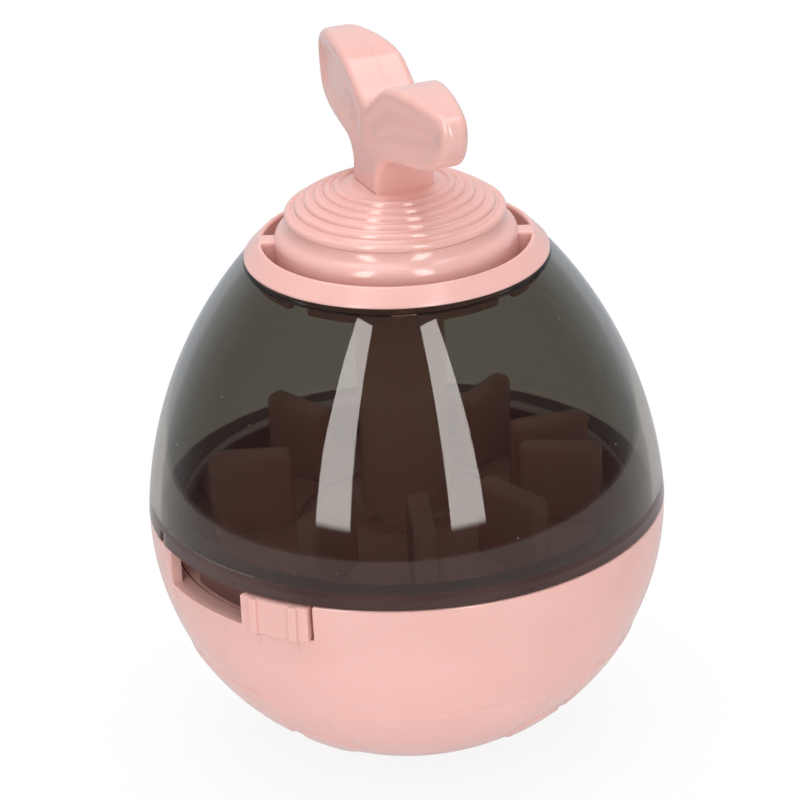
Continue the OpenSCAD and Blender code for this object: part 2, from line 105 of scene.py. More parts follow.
MARK_TURNS = [205, 215, 225, 235, 245]
MARK_RISE = 0.1
LOCK_COUNT = 3
LOCK_TURN = WINDOW[1] + 6
LOCK_SPAN = 62
LOCK_T = 2
STOP_SPAN = 2
STOP_H = 4.3
LOCK_STEPS = 16

# Outlet slider
GATE_END = WINDOW[1] - 0.8
GATE_SPAN = 16.2
PLATE_T = 0.6
TAIL_SPAN = 31.0
TAIL_H = 2.3
GRIP_W = 1.9
GRIP_MARGIN = 2.3
GRIP_SINK = 0.4
GRIP_RISE = 0.7
GRIP_DROP = 0.05
GRIP_EDGE = 0.42
GATE_STEPS = 40
GATE_SHARP = 35
BEVEL_STEPS = 3
BEVEL_ANGLE = 40
TAIL_STEPS = 30

# Dome: the outlet lies between two angles; the notch and the line are an angle, a width and a depth
DOME_STEPS = 360
DOME_ROWS = (52, 50)
RING_Z = dome_high.z
DOME_LOW_Z = SEAM_Z + 0.2
DOME_WALL = 2.3
SEAM_R = math.sqrt(BODY_R**2 - (SEAM_Z - WIDE_Z) ** 2) + 0.1
RING_R = 30.15
ARC_Z = WIDE_Z - 4.7
ARC_LOW = DOME_LOW_Z - ARC_Z
ARC_HIGH = RING_Z - ARC_Z
ARC_X = (SEAM_R**2 + ARC_LOW**2 - RING_R**2 - ARC_HIGH**2) / (2 * (SEAM_R - RING_R))
ARC_R = math.hypot(SEAM_R - ARC_X, ARC_LOW)
SHOULDER_Z = DOME_LOW_Z + 2.4
SKIRT_OUT_R = SILL_IN_R - 2 * RUN_GAP
SKIRT_IN_R = SKIRT_OUT_R - 2.0
OUTLET = (156.5, 207.6)
OUTLET_TOP_Z = SEAM_Z - 1.0
NOTCH = (201.3, 1.0, 1.1)
LINE = (249.2, 0.3, 0.35)
NOTCH_H = 2.4
NOTCH_STEPS = 6
NOTCH_REACH = 0.6
NOTCH_COLUMNS = (-0.5, -0.42, -0.3, -0.1, 0.1, 0.3, 0.42, 0.5)
NOTCH_BLEND = 0.1
NOTCH_FADE = 0.15
NOTCH_ROW = 0.12
LUG_TURN = LOCK_TURN + 8
LUG_SPAN = 14
LUG_T = 2
LUG_ROOT = 0.02
LUG_STEPS = 12

# Cap ring
BAND_EDGE = 0.4
BAND_FOOT = 0.12
BAND_CREST = 0.55
BAND_OUT_R = RING_R + 0.15
SLOT_OUT_R = BAND_OUT_R - 3.7
SNAP_OUT_R = SLOT_OUT_R + 1.4
SNAP_LOW_Z = band_low.z
SNAP_COUNT = 8
SNAP_TURN = 272.0
SNAP_CUT = 10.0
SNAP_CUT_EDGE = 0.25
SNAP_CUT_TOP = 0.06
BORE_R = SNAP_OUT_R + SEAT_GAP
BAND_TOP_Z = RING_Z + BAND_EDGE + BAND_OUT_R - SLOT_OUT_R
COLLAR_R = SLOT_OUT_R - 2.5
COLLAR_NECK = 2.7
FLARE_H = 4.33
NECK_R = COLLAR_R - COLLAR_NECK
THROAT_R = NECK_R - 0.85
COLLAR_LOW_Z = RING_Z + 1.0
COLLAR_TOP_Z = band_high.z
FLARE_R = (COLLAR_NECK**2 + FLARE_H**2) / (4 * COLLAR_NECK)
COLLAR_SKIRT_T = 1.4
COLLAR_SKIRT_Z = RING_Z - 2.3
BRIDGE_W = 4.4
BRIDGE_ROOT = 0.85
BRIDGE_EDGE = 0.7
FLARE_STEPS = 10
RING_STEPS = 288

# Lid
LID_LOW_Z = COLLAR_TOP_Z + SEAT_GAP
FLAT_Z = lid_high.z
FLAT_DROP = 1.05
FLAT_SHARES = (0.35, 0.7)
FLAT_EDGE = 1.2
CROWN_RISE = 6.8
LID_STEPS = 256
LID_SHARP = 50
CROWN_ROWS = 130
RIM_ROWS = 20
CROWN_START = 0.6
RIB_COUNT = 6
RIB_MARGIN = 2.6
RIB_R = 0.85
RIB_SINK = 0.25
RIB_LAST_R = NECK_R - 0.35
CROWN_R = (RIB_LAST_R**2 + CROWN_RISE**2) / (2 * CROWN_RISE)
CROWN_Z = FLAT_Z + FLAT_DROP - CROWN_R
FLAT_R = math.sqrt(CROWN_R**2 - (CROWN_R - FLAT_DROP) ** 2)
RIB_PITCH = (RIB_LAST_R - FLAT_R - RIB_MARGIN) / (RIB_COUNT - 1)
PLUG_R = THROAT_R - RUN_GAP
PLUG_WALL = 1.6
PLUG_FILLET = 0.8
PLUG_LOW_Z = lid_low.z
ROOF_T = 2.6
ROOF_FILLET = 2.0
SOCKET_T = 0.6
SOCKET_GAP = 0.03
SOCKET_STEPS = 6
SOCKET_OVERRUN = 2.0
RIB_SOFTNESS = 0.12

# Sprout: its outline and fold are shares of the leaves' reach and height
LEAF_ANGLE = -68.0
LEAF_REACH = 32.0
LEAF_H = 25.0
STEM_W = 11.3
STEM_T = 12.5
TIP_T = 4.9
STEM_EDGE = 0.8
LEAF_EDGE = 1.5
LEAF_START = (0.32, 0.50)
STEM_END = (0.06, 0.30)
DISH_DEPTH = 0.55
DISH_SLOPE = (1.2, 4.8)
FOLD_DEPTH = 0.45
FOLD_BLEND = 0.6
TAPER_POWER = 1.5
PARTING_GAP = 0.002
PARTING_EDGE = (0.004, 0.03)
PARTING_OPENS = (-0.34, -0.24)
PARTING_SHUTS = (0.08, 0.14)
OUTLINE_STEP = 0.55
CURVE_STEPS = 12
RING_DEPTHS = (0.06, 0.22, 0.48, 0.85, 1.25, 1.6)
RING_SHARE = 0.97
SPROUT_SHARP = 40
LEAST_HEIGHT = 1e-9
SAME_PLACE = 1e-6
GRID_STEP = 0.6
GRID_MARGIN = 1.9
ROW_SHARE = 0.866
WALL_SHARES = (0.08, 0.35, 0.65, 0.92)
LEAF_SHARES = [
    (0.20, 0.16), (0.27, 0.27), (0.42, 0.34), (0.70, 0.39), (0.89, 0.50), (1.0, 0.68), (0.98, 0.85),
    (0.86, 0.915), (0.60, 0.95), (0.36, 0.93), (0.21, 0.83), (0.12, 0.745), (0.04, 0.70),
    (-0.045, 0.745), (-0.145, 0.84), (-0.26, 0.93), (-0.45, 0.98), (-0.75, 0.98), (-0.92, 0.915),
    (-1.0, 0.80), (-0.985, 0.58), (-0.90, 0.42), (-0.72, 0.35), (-0.45, 0.32), (-0.26, 0.28),
    (-0.185, 0.17),
]
FOLD_U_SHARES = [-0.95, -0.61, -0.47, -0.33, -0.25, -0.20, 0.09, 0.29, 0.45, 0.64, 0.79]
FOLD_V_SHARES = [0.86, 0.80, 0.72, 0.64, 0.51, 0.30, 0.41, 0.55, 0.63, 0.66, 0.70]

# Inside
COLUMN_R = column_high.x
COLUMN_TOP_Z = column_high.z
FIN_TURNS = [18, 57, 96, 134, 183, 240, 275, 311, 354]
FIN_T = 4.8
FIN_IN_R = COLUMN_R + 14.0
FIN_OUT_R = SKIRT_IN_R - 5.2
FIN_TOP_Z = maze_high.z
FIN_EDGE = 1.7
MAZE_STEPS = 192
COLUMN_STEPS = 128
PLATE_RISE = 1.2
TRAY_GAP = 0.05
TRAY_TOP_Z = SILL_Z - RUN_GAP
TRAY_RIM_R = SILL_IN_R - RUN_GAP - 3.5
TRAY_SLOPE = 4.0 / (TRAY_RIM_R - COLUMN_R - 2.3)
COLUMN_WALL = 1.8
COLUMN_FOOT_T = 4
COLUMN_HOLE_R = 1.4
COLUMN_EDGE = 0.8
TOP_SHARE = 0.5

# Finishes, as linear colours
PINK = (0.860, 0.512, 0.466)
PINK_WARM = (0.800, 0.440, 0.385)
PINK_WORN = (0.93, 0.70, 0.66)
PINK_DUST = (0.62, 0.50, 0.46)
PINK_GLOSS = 0.13
PINK_RELIEF = 0.04
SMOKE = (0.300, 0.290, 0.250)
SMOKE_DEEP = (0.300, 0.276, 0.240)
SMOKE_LOW = (0.360, 0.300, 0.275)
# Painted warm glow that the frosted inner ledge and skirt give off
SMOKE_FROST_GLOW = (0.022, 0.009, 0.008)
# Painted pale glow that the dome's dust specks give off
SMOKE_DUST_GLOW = (0.16, 0.15, 0.14)
LEDGE_ROUGH = 0.35
STEEL = (0.55, 0.55, 0.56)
IRON = (0.10, 0.10, 0.105)
WHITE = (1.0, 1.0, 1.0)
BLACK = (0.0, 0.0, 0.0)
DAYLIGHT = (1.0, 0.985, 0.97)
PAPER = ((0.86, 0.86, 0.86), (0.90, 0.90, 0.90))
FLOOR_MIRRORED = (0.93, 0.90, 0.93)

# Patterns of the finishes: a scale is in features per millimetre
CLOUD_SHARE = 0.28
CLOUD_RANGE = (0.30, 0.72)
RUBBED_RANGE = (0.30, 0.75)
EDGE_POINTINESS = (0.52, 0.60)
EDGE_WEAR = 0.10
DUST_SHARE = 0.35
SMOKE_SCALE = 0.03
SMOKE_SHARE = 0.5
SMOKE_RANGE = (0.30, 0.70)
HANDLED_RANGE = (0.35, 0.75)
SMOKE_ROUGH = (0.015, 0.04)
DUST_ROUGH = 0.4
METAL_DEEP_SHARE = 0.7
PAPER_SCALE = 0.4
FROST_Z = (SHOULDER_Z + 0.4, SHOULDER_Z - 0.3)
FROST_R = (SEAM_R - 0.6, SEAM_R - 1.2)
SMEAR_SCALE = 0.05
WAVE_SCALE = 0.05
GRAIN_HEIGHT = 0.02
WAVE_HEIGHT = 1.4
BUMP_DISTANCE = 0.0004

# Radii of the corners in the outlines
TIGHT = 0.1
CRISP = 0.2
FINE = 0.25
EVEN = 0.3
FULL = 0.35
SOFT = 0.4
BROAD = 0.5

# Columns, rows and corners of the meshes
STEP_ROUNDING = 0.4
CORNER_STEPS = 4
CORNER_HOLD = 0.12
HOLD_SHARE = 0.48
TANGENT_SHARE = 0.4
EDGE_REACH = 1.2
EDGE_COLUMNS = (0.03, 0.1, 0.2, 0.32, 0.4, 0.6)
CREASE_SHARE = 0.06
MERGE_DISTANCE = 1e-7
THIN_DISTANCE = 1e-8

# Camera and studio: metres, but millimetres for the table, its shadow and the sensor
IMAGE_PX = 800
CAMERA_DISTANCE = 0.68326
CAMERA_RISE = 25.779
CAMERA_ROLL = -2.315
CAMERA_FOCAL_PX = 3337.0
TARGET_PX = (406.757, 498.96)
SENSOR_W = 36.0
CLIP_START = 0.01
TABLE_RINGS = (60, 150, 300, 470)
TABLE_STEPS = 96
TABLE_CENTRE = (50.0, -200.0)
SHADOW_REACH = (20, 90)
FLOOR_GLOSS = 0.70
FLOOR_SHADOW = 0.12
ROOM_FRONT = (0.10, 0.10, 0.11)
ROOM_BACK = (0.62, 0.65, 0.71)
BEHIND = (0.2, 1.0)
AMBIENT = 0.42
STRIP_TURNS = (-122.0, -64.2)
STRIP_DISTANCE = 1.2
STRIP_W = 0.32
STRIP_H = 1.8
STRIP_POWER = 17.0
STRIP_COLOR = (1.0, 0.935, 0.90)
STRIP_FADE = 0.075
FADE_START = 0.6
FILL_W = 0.8
FILL_POWER = 8.8
TOP_POWER = 13.5
TOP_PLACE = (0, 0.1, 1.5)
TOP_SIZE = (1.3, 1.3)


# Outlines in the plane of radius and height


def arc(centre, radius, start, end, steps):
    """Points of a circular arc between two angles."""
    turns = np.radians(np.linspace(start, end, steps + 1))
    return [(centre[0] + radius * math.cos(t), centre[1] + radius * math.sin(t)) for t in turns]


def corner_arc(here, before, after, radius):
    """Arc of a corner with a holding point on both sides; before and after lead to its neighbours."""
    len_before, len_after = np.linalg.norm(before), np.linalg.norm(after)
    before, after = before / len_before, after / len_after
    half = math.acos(float(np.clip(before @ after, -1, 1))) / 2
    tangent = min(radius / math.tan(half), TANGENT_SHARE * len_before, TANGENT_SHARE * len_after)
    radius = tangent * math.tan(half)
    middle = before + after
    centre = here + middle / np.linalg.norm(middle) * radius / math.sin(half)
    first = here + before * tangent - centre
    last = here + after * tangent - centre
    bend = math.pi - 2 * half
    points = [tuple(here + before * min(tangent + CORNER_HOLD, HOLD_SHARE * len_before))]
    for k in range(CORNER_STEPS + 1):
        t = k / CORNER_STEPS
        mix = math.sin((1 - t) * bend) * first + math.sin(t * bend) * last
        points.append(tuple(centre + mix / math.sin(bend)))
    points.append(tuple(here + after * min(tangent + CORNER_HOLD, HOLD_SHARE * len_after)))
    return points


def rounded(corners, closed=True):
    """Outline with each corner (r, z, radius) turned into an arc; one without a radius stays a point."""
    points = []
    count = len(corners)
    for i, corner in enumerate(corners):
        here = np.array(corner[:2], float)
        radius = corner[2] if len(corner) > 2 else 0
        at_end = not closed and i in (0, count - 1)
        if not radius or at_end:
            points.append(tuple(here))
            continue
        before = np.array(corners[i - 1][:2], float) - here
        after = np.array(corners[(i + 1) % count][:2], float) - here
        points += corner_arc(here, before, after, radius)
    return points


def spread(start, end, count):
    """Evenly spread values, without the last one."""
    return list(np.linspace(start, end, count, endpoint=False))


def with_edges(turns, edges, radius):
    """Column angles with extra columns near each edge angle, so that a step there stays crisp."""
    near = [side * s for s in (*EDGE_COLUMNS, EDGE_REACH) for side in (-1, 1)]
    extra = [edge + math.degrees(s / radius) for edge in edges for s in near]
    kept = [t for t in turns
            if all(abs(t - edge) * math.radians(1) * radius > EDGE_REACH for edge in edges)]
    return sorted(kept + extra)


def step_between(turn, window, radius, rounding=STEP_ROUNDING):
    """0 outside a window of angles and 1 inside it, with rounded upper and lower corners."""
    inside = min(turn - window[0], window[1] - turn)
    s = math.radians(inside) * radius
    if s <= -rounding or s >= rounding:
        return 0.0 if s < 0 else 1.0
    lift = 1 - math.sqrt(max(0.0, 1 - (1 - abs(s) / rounding) ** 2))
    return CREASE_SHARE * lift if s < 0 else 1 - CREASE_SHARE * lift


# Meshes


def new_object(name, data):
    """Object in the scene that holds the data."""
    result = bpy.data.objects.new(name, data)
    bpy.context.scene.collection.objects.link(result)
    return result


def finish_mesh(name, vertices, faces, sharp=None):
    """Object from millimetre vertices: doubles merged, faces outwards, smooth, with sharp edges if asked."""
    mesh = bpy.data.meshes.new(name)
    mesh.from_pydata([tuple(v) for v in np.asarray(vertices, float) * MM], [], faces)
    work = bmesh.new()
    work.from_mesh(mesh)
    bmesh.ops.remove_doubles(work, verts=work.verts, dist=MERGE_DISTANCE)
    bmesh.ops.dissolve_degenerate(work, edges=work.edges, dist=THIN_DISTANCE)
    bmesh.ops.recalc_face_normals(work, faces=work.faces)
    for face in work.faces:
        face.smooth = True
    if sharp:
        mark_sharp(work, sharp)
    work.to_mesh(mesh)
    work.free()
    return new_object(name, mesh)


def mark_sharp(work, angle):
    """Edges whose faces meet at more than the angle get a hard shading break."""
    limit = math.radians(angle)
    for edge in work.edges:
        if len(edge.link_faces) == 2 and edge.calc_face_angle(0) > limit:
            edge.smooth = False


def sweep(name, turns, section, closed=True, ring=True, sharp=None):
    """Wall whose outline, section(turn), is carried round the axis."""
    outlines = np.array([section(turn) for turn in turns])
    angles = np.radians(turns)
    x = outlines[:, :, 0] * np.cos(angles)[:, None]
    y = outlines[:, :, 0] * np.sin(angles)[:, None]
    vertices = np.stack([x, y, outlines[:, :, 1]], axis=2).reshape(-1, 3)
    columns, rows = outlines.shape[:2]
    faces = []
    for i in range(columns if ring else columns - 1):
        a = i * rows
        b = (i + 1) % columns * rows
        for j in range(rows if closed else rows - 1):
            k = (j + 1) % rows
            faces.append((a + j, b + j, b + k, a + k))
    if not ring:
        faces.append(tuple(range(rows)))
        faces.append(tuple(range((columns - 1) * rows, columns * rows)))
    return finish_mesh(name, vertices, faces, sharp)


def evaluated(piece):
    """Bakes a piece's modifiers into a plain mesh and removes them."""
    bpy.context.view_layer.update()
    graph = bpy.context.evaluated_depsgraph_get()
    mesh = bpy.data.meshes.new_from_object(piece.evaluated_get(graph))
    mesh.name = piece.name
    piece.modifiers.clear()
    piece.data = mesh
    return piece


def joined(name, pieces):
    """One object that holds the meshes of several."""
    work = bmesh.new()
    for piece in pieces:
        work.from_mesh(piece.data)
        bpy.data.objects.remove(piece)
    mesh = bpy.data.meshes.new(name)
    work.to_mesh(mesh)
    work.free()
    return new_object(name, mesh)


def dress(piece, body, slot, material, *nodes):
    """Gives a piece its material, the body it rides on and the nodes it stands for; its slot is not used."""
    piece.data.materials.clear()
    piece.data.materials.append(material)
    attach(piece, body)
    if nodes:
        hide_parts(*nodes)
    return piece


# Node trees


class Graph:
    """Short calls that add and join the nodes of one tree."""

    def __init__(self, tree):
        self.tree = tree
        self.nodes = tree.nodes

    def add(self, kind, inputs=None, **settings):
        node = self.nodes.new(kind)
        for key, value in settings.items():
            setattr(node, key, value)
        for key, value in (inputs or {}).items():
            self.feed(node.inputs[key], value)
        return node

    def feed(self, socket, value):
        if isinstance(value, bpy.types.NodeSocket):
            self.tree.links.new(value, socket)
        elif isinstance(value, bpy.types.Node):
            self.tree.links.new(value.outputs[0], socket)
        else:
            socket.default_value = value

    def math(self, operation, *values):
        return self.add("ShaderNodeMath", dict(enumerate(values)), operation=operation).outputs[0]

    def plus(self, first, second):
        return self.math("ADD", first, second)

    def minus(self, first, second):
        return self.math("SUBTRACT", first, second)

    def times(self, first, second):
        return self.math("MULTIPLY", first, second)

    def over(self, first, second):
        return self.math("DIVIDE", first, second)

    def vector(self, operation, *values):
        return self.add("ShaderNodeVectorMath", dict(enumerate(values)), operation=operation).outputs[0]

    def scaled(self, vector, factor):
        return self.add("ShaderNodeVectorMath", {0: vector, "Scale": factor}, operation="SCALE").outputs[0]

    def length(self, vector):
        return self.add("ShaderNodeVectorMath", {0: vector}, operation="LENGTH").outputs["Value"]

    def combine(self, x, y, z):
        return self.add("ShaderNodeCombineXYZ", {0: x, 1: y, 2: z}).outputs[0]

    def split(self, vector):
        return self.add("ShaderNodeSeparateXYZ", {0: vector}).outputs

    def mix(self, factor, first, second):
        """Colour between two; a Mix node's colours are its inputs 6 and 7 and its output 2."""
        node = self.add("ShaderNodeMix", data_type="RGBA")
        self.feed(node.inputs[0], factor)
        self.feed(node.inputs[6], first)
        self.feed(node.inputs[7], second)
        return node.outputs[2]

    def ramp(self, value, low, high, out_low=0.0, out_high=1.0):
        node = self.add("ShaderNodeMapRange", interpolation_type="SMOOTHSTEP")
        for index, part in enumerate((value, low, high, out_low, out_high)):
            self.feed(node.inputs[index], part)
        return node.outputs[0]


def open_tree(name, kind, inputs, outputs):
    """New node group with named sockets; returns its graph, what it is given and what it puts out."""
    tree = bpy.data.node_groups.new(name, kind)
    for in_out, sockets in (("INPUT", inputs), ("OUTPUT", outputs)):
        for socket_name, socket_type, default in sockets:
            socket = tree.interface.new_socket(name=socket_name, in_out=in_out, socket_type=socket_type)
            if default is not None:
                socket.default_value = default
    graph = Graph(tree)
    return graph, graph.add("NodeGroupInput").outputs, graph.add("NodeGroupOutput").inputs


FLOAT = "NodeSocketFloat"
COLOR = "NodeSocketColor"
VECTOR = "NodeSocketVector"
INTEGER = "NodeSocketInt"
GEOMETRY = "NodeSocketGeometry"
MATERIAL = "NodeSocketMaterial"


def set_inputs(piece, tree, values):
    """Adds a geometry nodes modifier and sets its inputs by their identifiers."""
    modifier = piece.modifiers.new(tree.name, "NODES")
    modifier.node_group = tree
    for item in tree.interface.items_tree:
        if item.item_type == "SOCKET" and item.in_out == "INPUT" and item.name in values:
            modifier[item.identifier] = values[item.name]


# Geometry nodes


BLOCK_STEPS = 7
BLOCK_ROUND_STEPS = 3


def finish_tree(graph, given, result, geometry):
    """Ends a geometry tree: real geometry in the given material."""
    real = graph.add("GeometryNodeRealizeInstances", {"Geometry": geometry})
    finished = graph.add("GeometryNodeSetMaterial", {"Geometry": real, "Material": given["Material"]})
    graph.feed(result[0], finished)
    return graph.tree


def rounded_place(graph, place, flat, size, rounding):
    """Where a point of an even cube goes on a block of this size with rounded edges and corners."""
    away = graph.vector("ABSOLUTE", place)
    inner = graph.vector("MINIMUM", graph.vector("DIVIDE", away, flat), (1, 1, 1))
    margin = graph.combine(rounding, rounding, rounding)
    core = graph.vector("MULTIPLY", inner, graph.vector("SUBTRACT", graph.scaled(size, 0.5), margin))
    past_flat = graph.vector("SUBTRACT", away, flat)
    edge = graph.vector("DIVIDE", past_flat, graph.vector("SUBTRACT", (1, 1, 1), flat))
    outward = graph.vector("NORMALIZE", graph.vector("MAXIMUM", edge, (0, 0, 0)))
    corner = graph.vector("ADD", core, graph.scaled(outward, rounding))
    return graph.vector("MULTIPLY", corner, graph.vector("SIGN", place))


def bent_place(graph, given, place):
    """The block's point between its radii and heights, carried round the axis as far as it bends."""
    x, y, z = graph.split(place)
    radius = graph.plus(x, graph.times(0.5, graph.plus(given["Inner Radius"], given["Outer Radius"])))
    height = graph.plus(z, graph.times(0.5, graph.plus(given["Low"], given["High"])))
    turn = graph.times(given["Bend"], graph.over(y, given["Outer Radius"]))
    straight = graph.times(y, graph.minus(1, given["Bend"]))
    sideways = graph.plus(straight, graph.times(radius, graph.math("SINE", turn)))
    return graph.combine(graph.times(radius, graph.math("COSINE", turn)), sideways, height)


def block_tree():
    """Rounded block between two radii and two heights, one on each point, turned by the point's angle."""
    graph, given, result = open_tree(
        "rounded blocks round the axis", "GeometryNodeTree",
        [("Points", GEOMETRY, None), ("Inner Radius", FLOAT, 0.02), ("Outer Radius", FLOAT, 0.03),
         ("Low", FLOAT, 0.0), ("High", FLOAT, 0.01), ("Width", FLOAT, 0.005), ("Rounding", FLOAT, 0.0005),
         ("Bend", FLOAT, 1.0), ("Width Steps", INTEGER, BLOCK_STEPS), ("Material", MATERIAL, None)],
        [("Geometry", GEOMETRY, None)],
    )
    sides = 2 * BLOCK_STEPS + 1
    across = graph.plus(graph.times(given["Width Steps"], 2), 1)
    cube = graph.add("GeometryNodeMeshCube", {"Size": (2, 2, 2), "Vertices X": sides, "Vertices Z": sides,
                                              "Vertices Y": across})
    size = graph.combine(graph.minus(given["Outer Radius"], given["Inner Radius"]), given["Width"],
                         graph.minus(given["High"], given["Low"]))
    flat_share = 1 - BLOCK_ROUND_STEPS / BLOCK_STEPS
    flat_across = graph.minus(1, graph.over(BLOCK_ROUND_STEPS, given["Width Steps"]))
    flat = graph.combine(flat_share, flat_across, flat_share)
    place = graph.add("GeometryNodeInputPosition")
    corner = rounded_place(graph, place, flat, size, given["Rounding"])
    shaped = graph.add("GeometryNodeSetPosition", {
        "Geometry": cube.outputs["Mesh"], "Position": bent_place(graph, given, corner)})
    smooth = graph.add("GeometryNodeSetShadeSmooth", {"Geometry": shaped})
    angle = graph.add("GeometryNodeInputNamedAttribute", {"Name": "turn"}, data_type="FLOAT")
    placed = graph.add("GeometryNodeInstanceOnPoints", {
        "Points": given["Points"], "Instance": smooth, "Rotation": graph.combine(0, 0, angle.outputs[0])})
    return finish_tree(graph, given, result, placed)


def blocks(name, turns, radii, heights, width, rounding, material, bend=1.0, steps=BLOCK_STEPS):
    """Rounded blocks at the given angles, as one plain mesh."""
    mesh = bpy.data.meshes.new(name)
    mesh.from_pydata([(0, 0, 0)] * len(turns), [], [])
    angles = mesh.attributes.new("turn", "FLOAT", "POINT")
    angles.data.foreach_set("value", [math.radians(turn) for turn in turns])
    piece = new_object(name, mesh)
    set_inputs(piece, BLOCKS, {
        "Inner Radius": radii[0] * MM, "Outer Radius": radii[1] * MM, "Low": heights[0] * MM,
        "High": heights[1] * MM, "Width": width * MM, "Rounding": rounding * MM, "Bend": bend,
        "Width Steps": steps, "Material": material})
    return evaluated(piece)


def rib_tree():
    """Concentric half-round ribs, raised along the normal where a face looks upward enough."""
    graph, given, result = open_tree(
        "concentric ribs", "GeometryNodeTree",
        [("Geometry", GEOMETRY, None), ("Outer Radius", FLOAT, 0.02), ("Pitch", FLOAT, 0.002),
         ("Ribs", INTEGER, 5), ("Rib Radius", FLOAT, 0.00085), ("Sink", FLOAT, 0.00025),
         ("Softness", FLOAT, 0.0001), ("Low", FLOAT, 0.0), ("Material", MATERIAL, None)],
        [("Geometry", GEOMETRY, None)],
    )
    least_up = 0.3
    normal = graph.add("GeometryNodeInputNormal")
    up = graph.split(normal)[2]
    x, y, z = graph.split(graph.add("GeometryNodeInputPosition"))
    inward = graph.minus(given["Outer Radius"], graph.length(graph.combine(x, y, 0)))
    nearest = graph.math("ROUND", graph.over(inward, given["Pitch"]))
    rib = graph.math("MINIMUM", graph.math("MAXIMUM", nearest, 0.0), graph.minus(given["Ribs"], 1))
    level = graph.minus(inward, graph.times(rib, given["Pitch"]))
    off = graph.over(level, graph.math("MAXIMUM", up, least_up))
    radius = given["Rib Radius"]
    room = graph.minus(graph.times(radius, radius), graph.times(off, off))
    proud = graph.minus(graph.math("SQRT", graph.math("MAXIMUM", room, 0.0)), given["Sink"])
    softness = graph.times(given["Softness"], given["Softness"])
    soft = graph.math("SQRT", graph.plus(graph.times(proud, proud), softness))
    rise = graph.times(graph.plus(proud, soft), 0.5)
    above = graph.math("GREATER_THAN", z, given["Low"])
    raised = graph.times(above, graph.math("GREATER_THAN", up, least_up))
    offset = graph.scaled(normal, graph.times(rise, raised))
    moved = graph.add("GeometryNodeSetPosition", {"Geometry": given["Geometry"], "Offset": offset})
    smooth = graph.add("GeometryNodeSetShadeSmooth", {"Geometry": moved})
    return finish_tree(graph, given, result, smooth)


# Shader groups


def millimetre_place(graph):
    """Object coordinates in millimetres."""
    place = graph.add("ShaderNodeTexCoord").outputs["Object"]
    mapping = graph.add("ShaderNodeMapping", {"Vector": place, "Scale": (1 / MM,) * 3}, vector_type="POINT")
    return mapping.outputs[0]


def noise(graph, place, scale, detail=3.0, roughness=0.5):
    """Value of a noise; its scale is in features per millimetre."""
    return graph.add("ShaderNodeTexNoise", {"Vector": place, "Scale": scale, "Detail": detail,
                                            "Roughness": roughness}).outputs[0]


def mould_group():
    """Slow changes of shade that moulded plastic shows, and its fine relief."""
    graph, given, result = open_tree(
        "moulded plastic", "ShaderNodeTree",
        [("Color", COLOR, (1, 1, 1, 1)), ("Deep Color", COLOR, (1, 1, 1, 1)), ("Cloud Size", FLOAT, 18.0),
         ("Grain Size", FLOAT, 0.35), ("Gloss", FLOAT, 0.2), ("Gloss Change", FLOAT, 0.1),
         ("Relief", FLOAT, 0.05)],
        [("Color", COLOR, None), ("Roughness", FLOAT, None), ("Normal", VECTOR, None)],
    )
    place = millimetre_place(graph)
    clouds = noise(graph, place, graph.over(1.0, given["Cloud Size"]), 1.5)
    flow = graph.times(graph.ramp(clouds, *CLOUD_RANGE), CLOUD_SHARE)
    rubbed = graph.ramp(noise(graph, place, SMEAR_SCALE, 1.5, 0.4), *RUBBED_RANGE)
    gloss = graph.plus(given["Gloss"], graph.times(rubbed, given["Gloss Change"]))
    grain = noise(graph, place, graph.over(1.0, given["Grain Size"]), 2.0)
    waves = noise(graph, place, WAVE_SCALE, 0.0)
    relief = graph.plus(graph.times(grain, GRAIN_HEIGHT), graph.times(waves, WAVE_HEIGHT))
    bump = graph.add("ShaderNodeBump", {
        "Strength": given["Relief"], "Distance": BUMP_DISTANCE, "Height": relief})
    graph.feed(result["Color"], graph.mix(flow, given["Color"], given["Deep Color"]))
    graph.feed(result["Roughness"], gloss)
    graph.feed(result["Normal"], bump)
    return graph.tree


def speck_group():
    """Mask of sparse specks of dust."""
    graph, given, result = open_tree(
        "dust specks", "ShaderNodeTree",
        [("Spacing", FLOAT, 6.0), ("Speck Size", FLOAT, 0.16), ("Share", FLOAT, 0.4)],
        [("Mask", FLOAT, None)],
    )
    least_size = 0.35
    cells = graph.add("ShaderNodeTexVoronoi", {
        "Vector": millimetre_place(graph), "Scale": graph.over(1.0, given["Spacing"])})
    pick = graph.split(cells.outputs["Color"])
    size = graph.times(graph.over(given["Speck Size"], given["Spacing"]), graph.plus(least_size, pick[1]))
    near = graph.math("LESS_THAN", cells.outputs["Distance"], size)
    chosen = graph.math("LESS_THAN", pick[0], given["Share"])
    graph.feed(result["Mask"], graph.times(near, chosen))
    return graph.tree


# Materials


def open_material(name):
    """New material: its graph and its Principled shader."""
    material = bpy.data.materials.new(name)
    material.use_nodes = True
    graph = Graph(material.node_tree)
    return material, graph, graph.nodes["Principled BSDF"]


def group_node(graph, tree, inputs):
    """Places a shader group with its own values."""
    node = graph.add("ShaderNodeGroup", node_tree=tree)
    for key, value in inputs.items():
        graph.feed(node.inputs[key], value)
    return node


def opaque(color):
    """The colour with full alpha."""
    return (*color, 1.0)


def feed_mould(graph, shader, mould, color):
    """Joins a colour and the moulded plastic's roughness and relief to the shader."""
    graph.feed(shader.inputs["Base Color"], color)
    graph.feed(shader.inputs["Roughness"], mould.outputs["Roughness"])
    graph.feed(shader.inputs["Normal"], mould.outputs["Normal"])


def set_plain(shader, values):
    """Sets the shader's own inputs that are the same all over the surface."""
    for name, value in values.items():
        shader.inputs[name].default_value = value


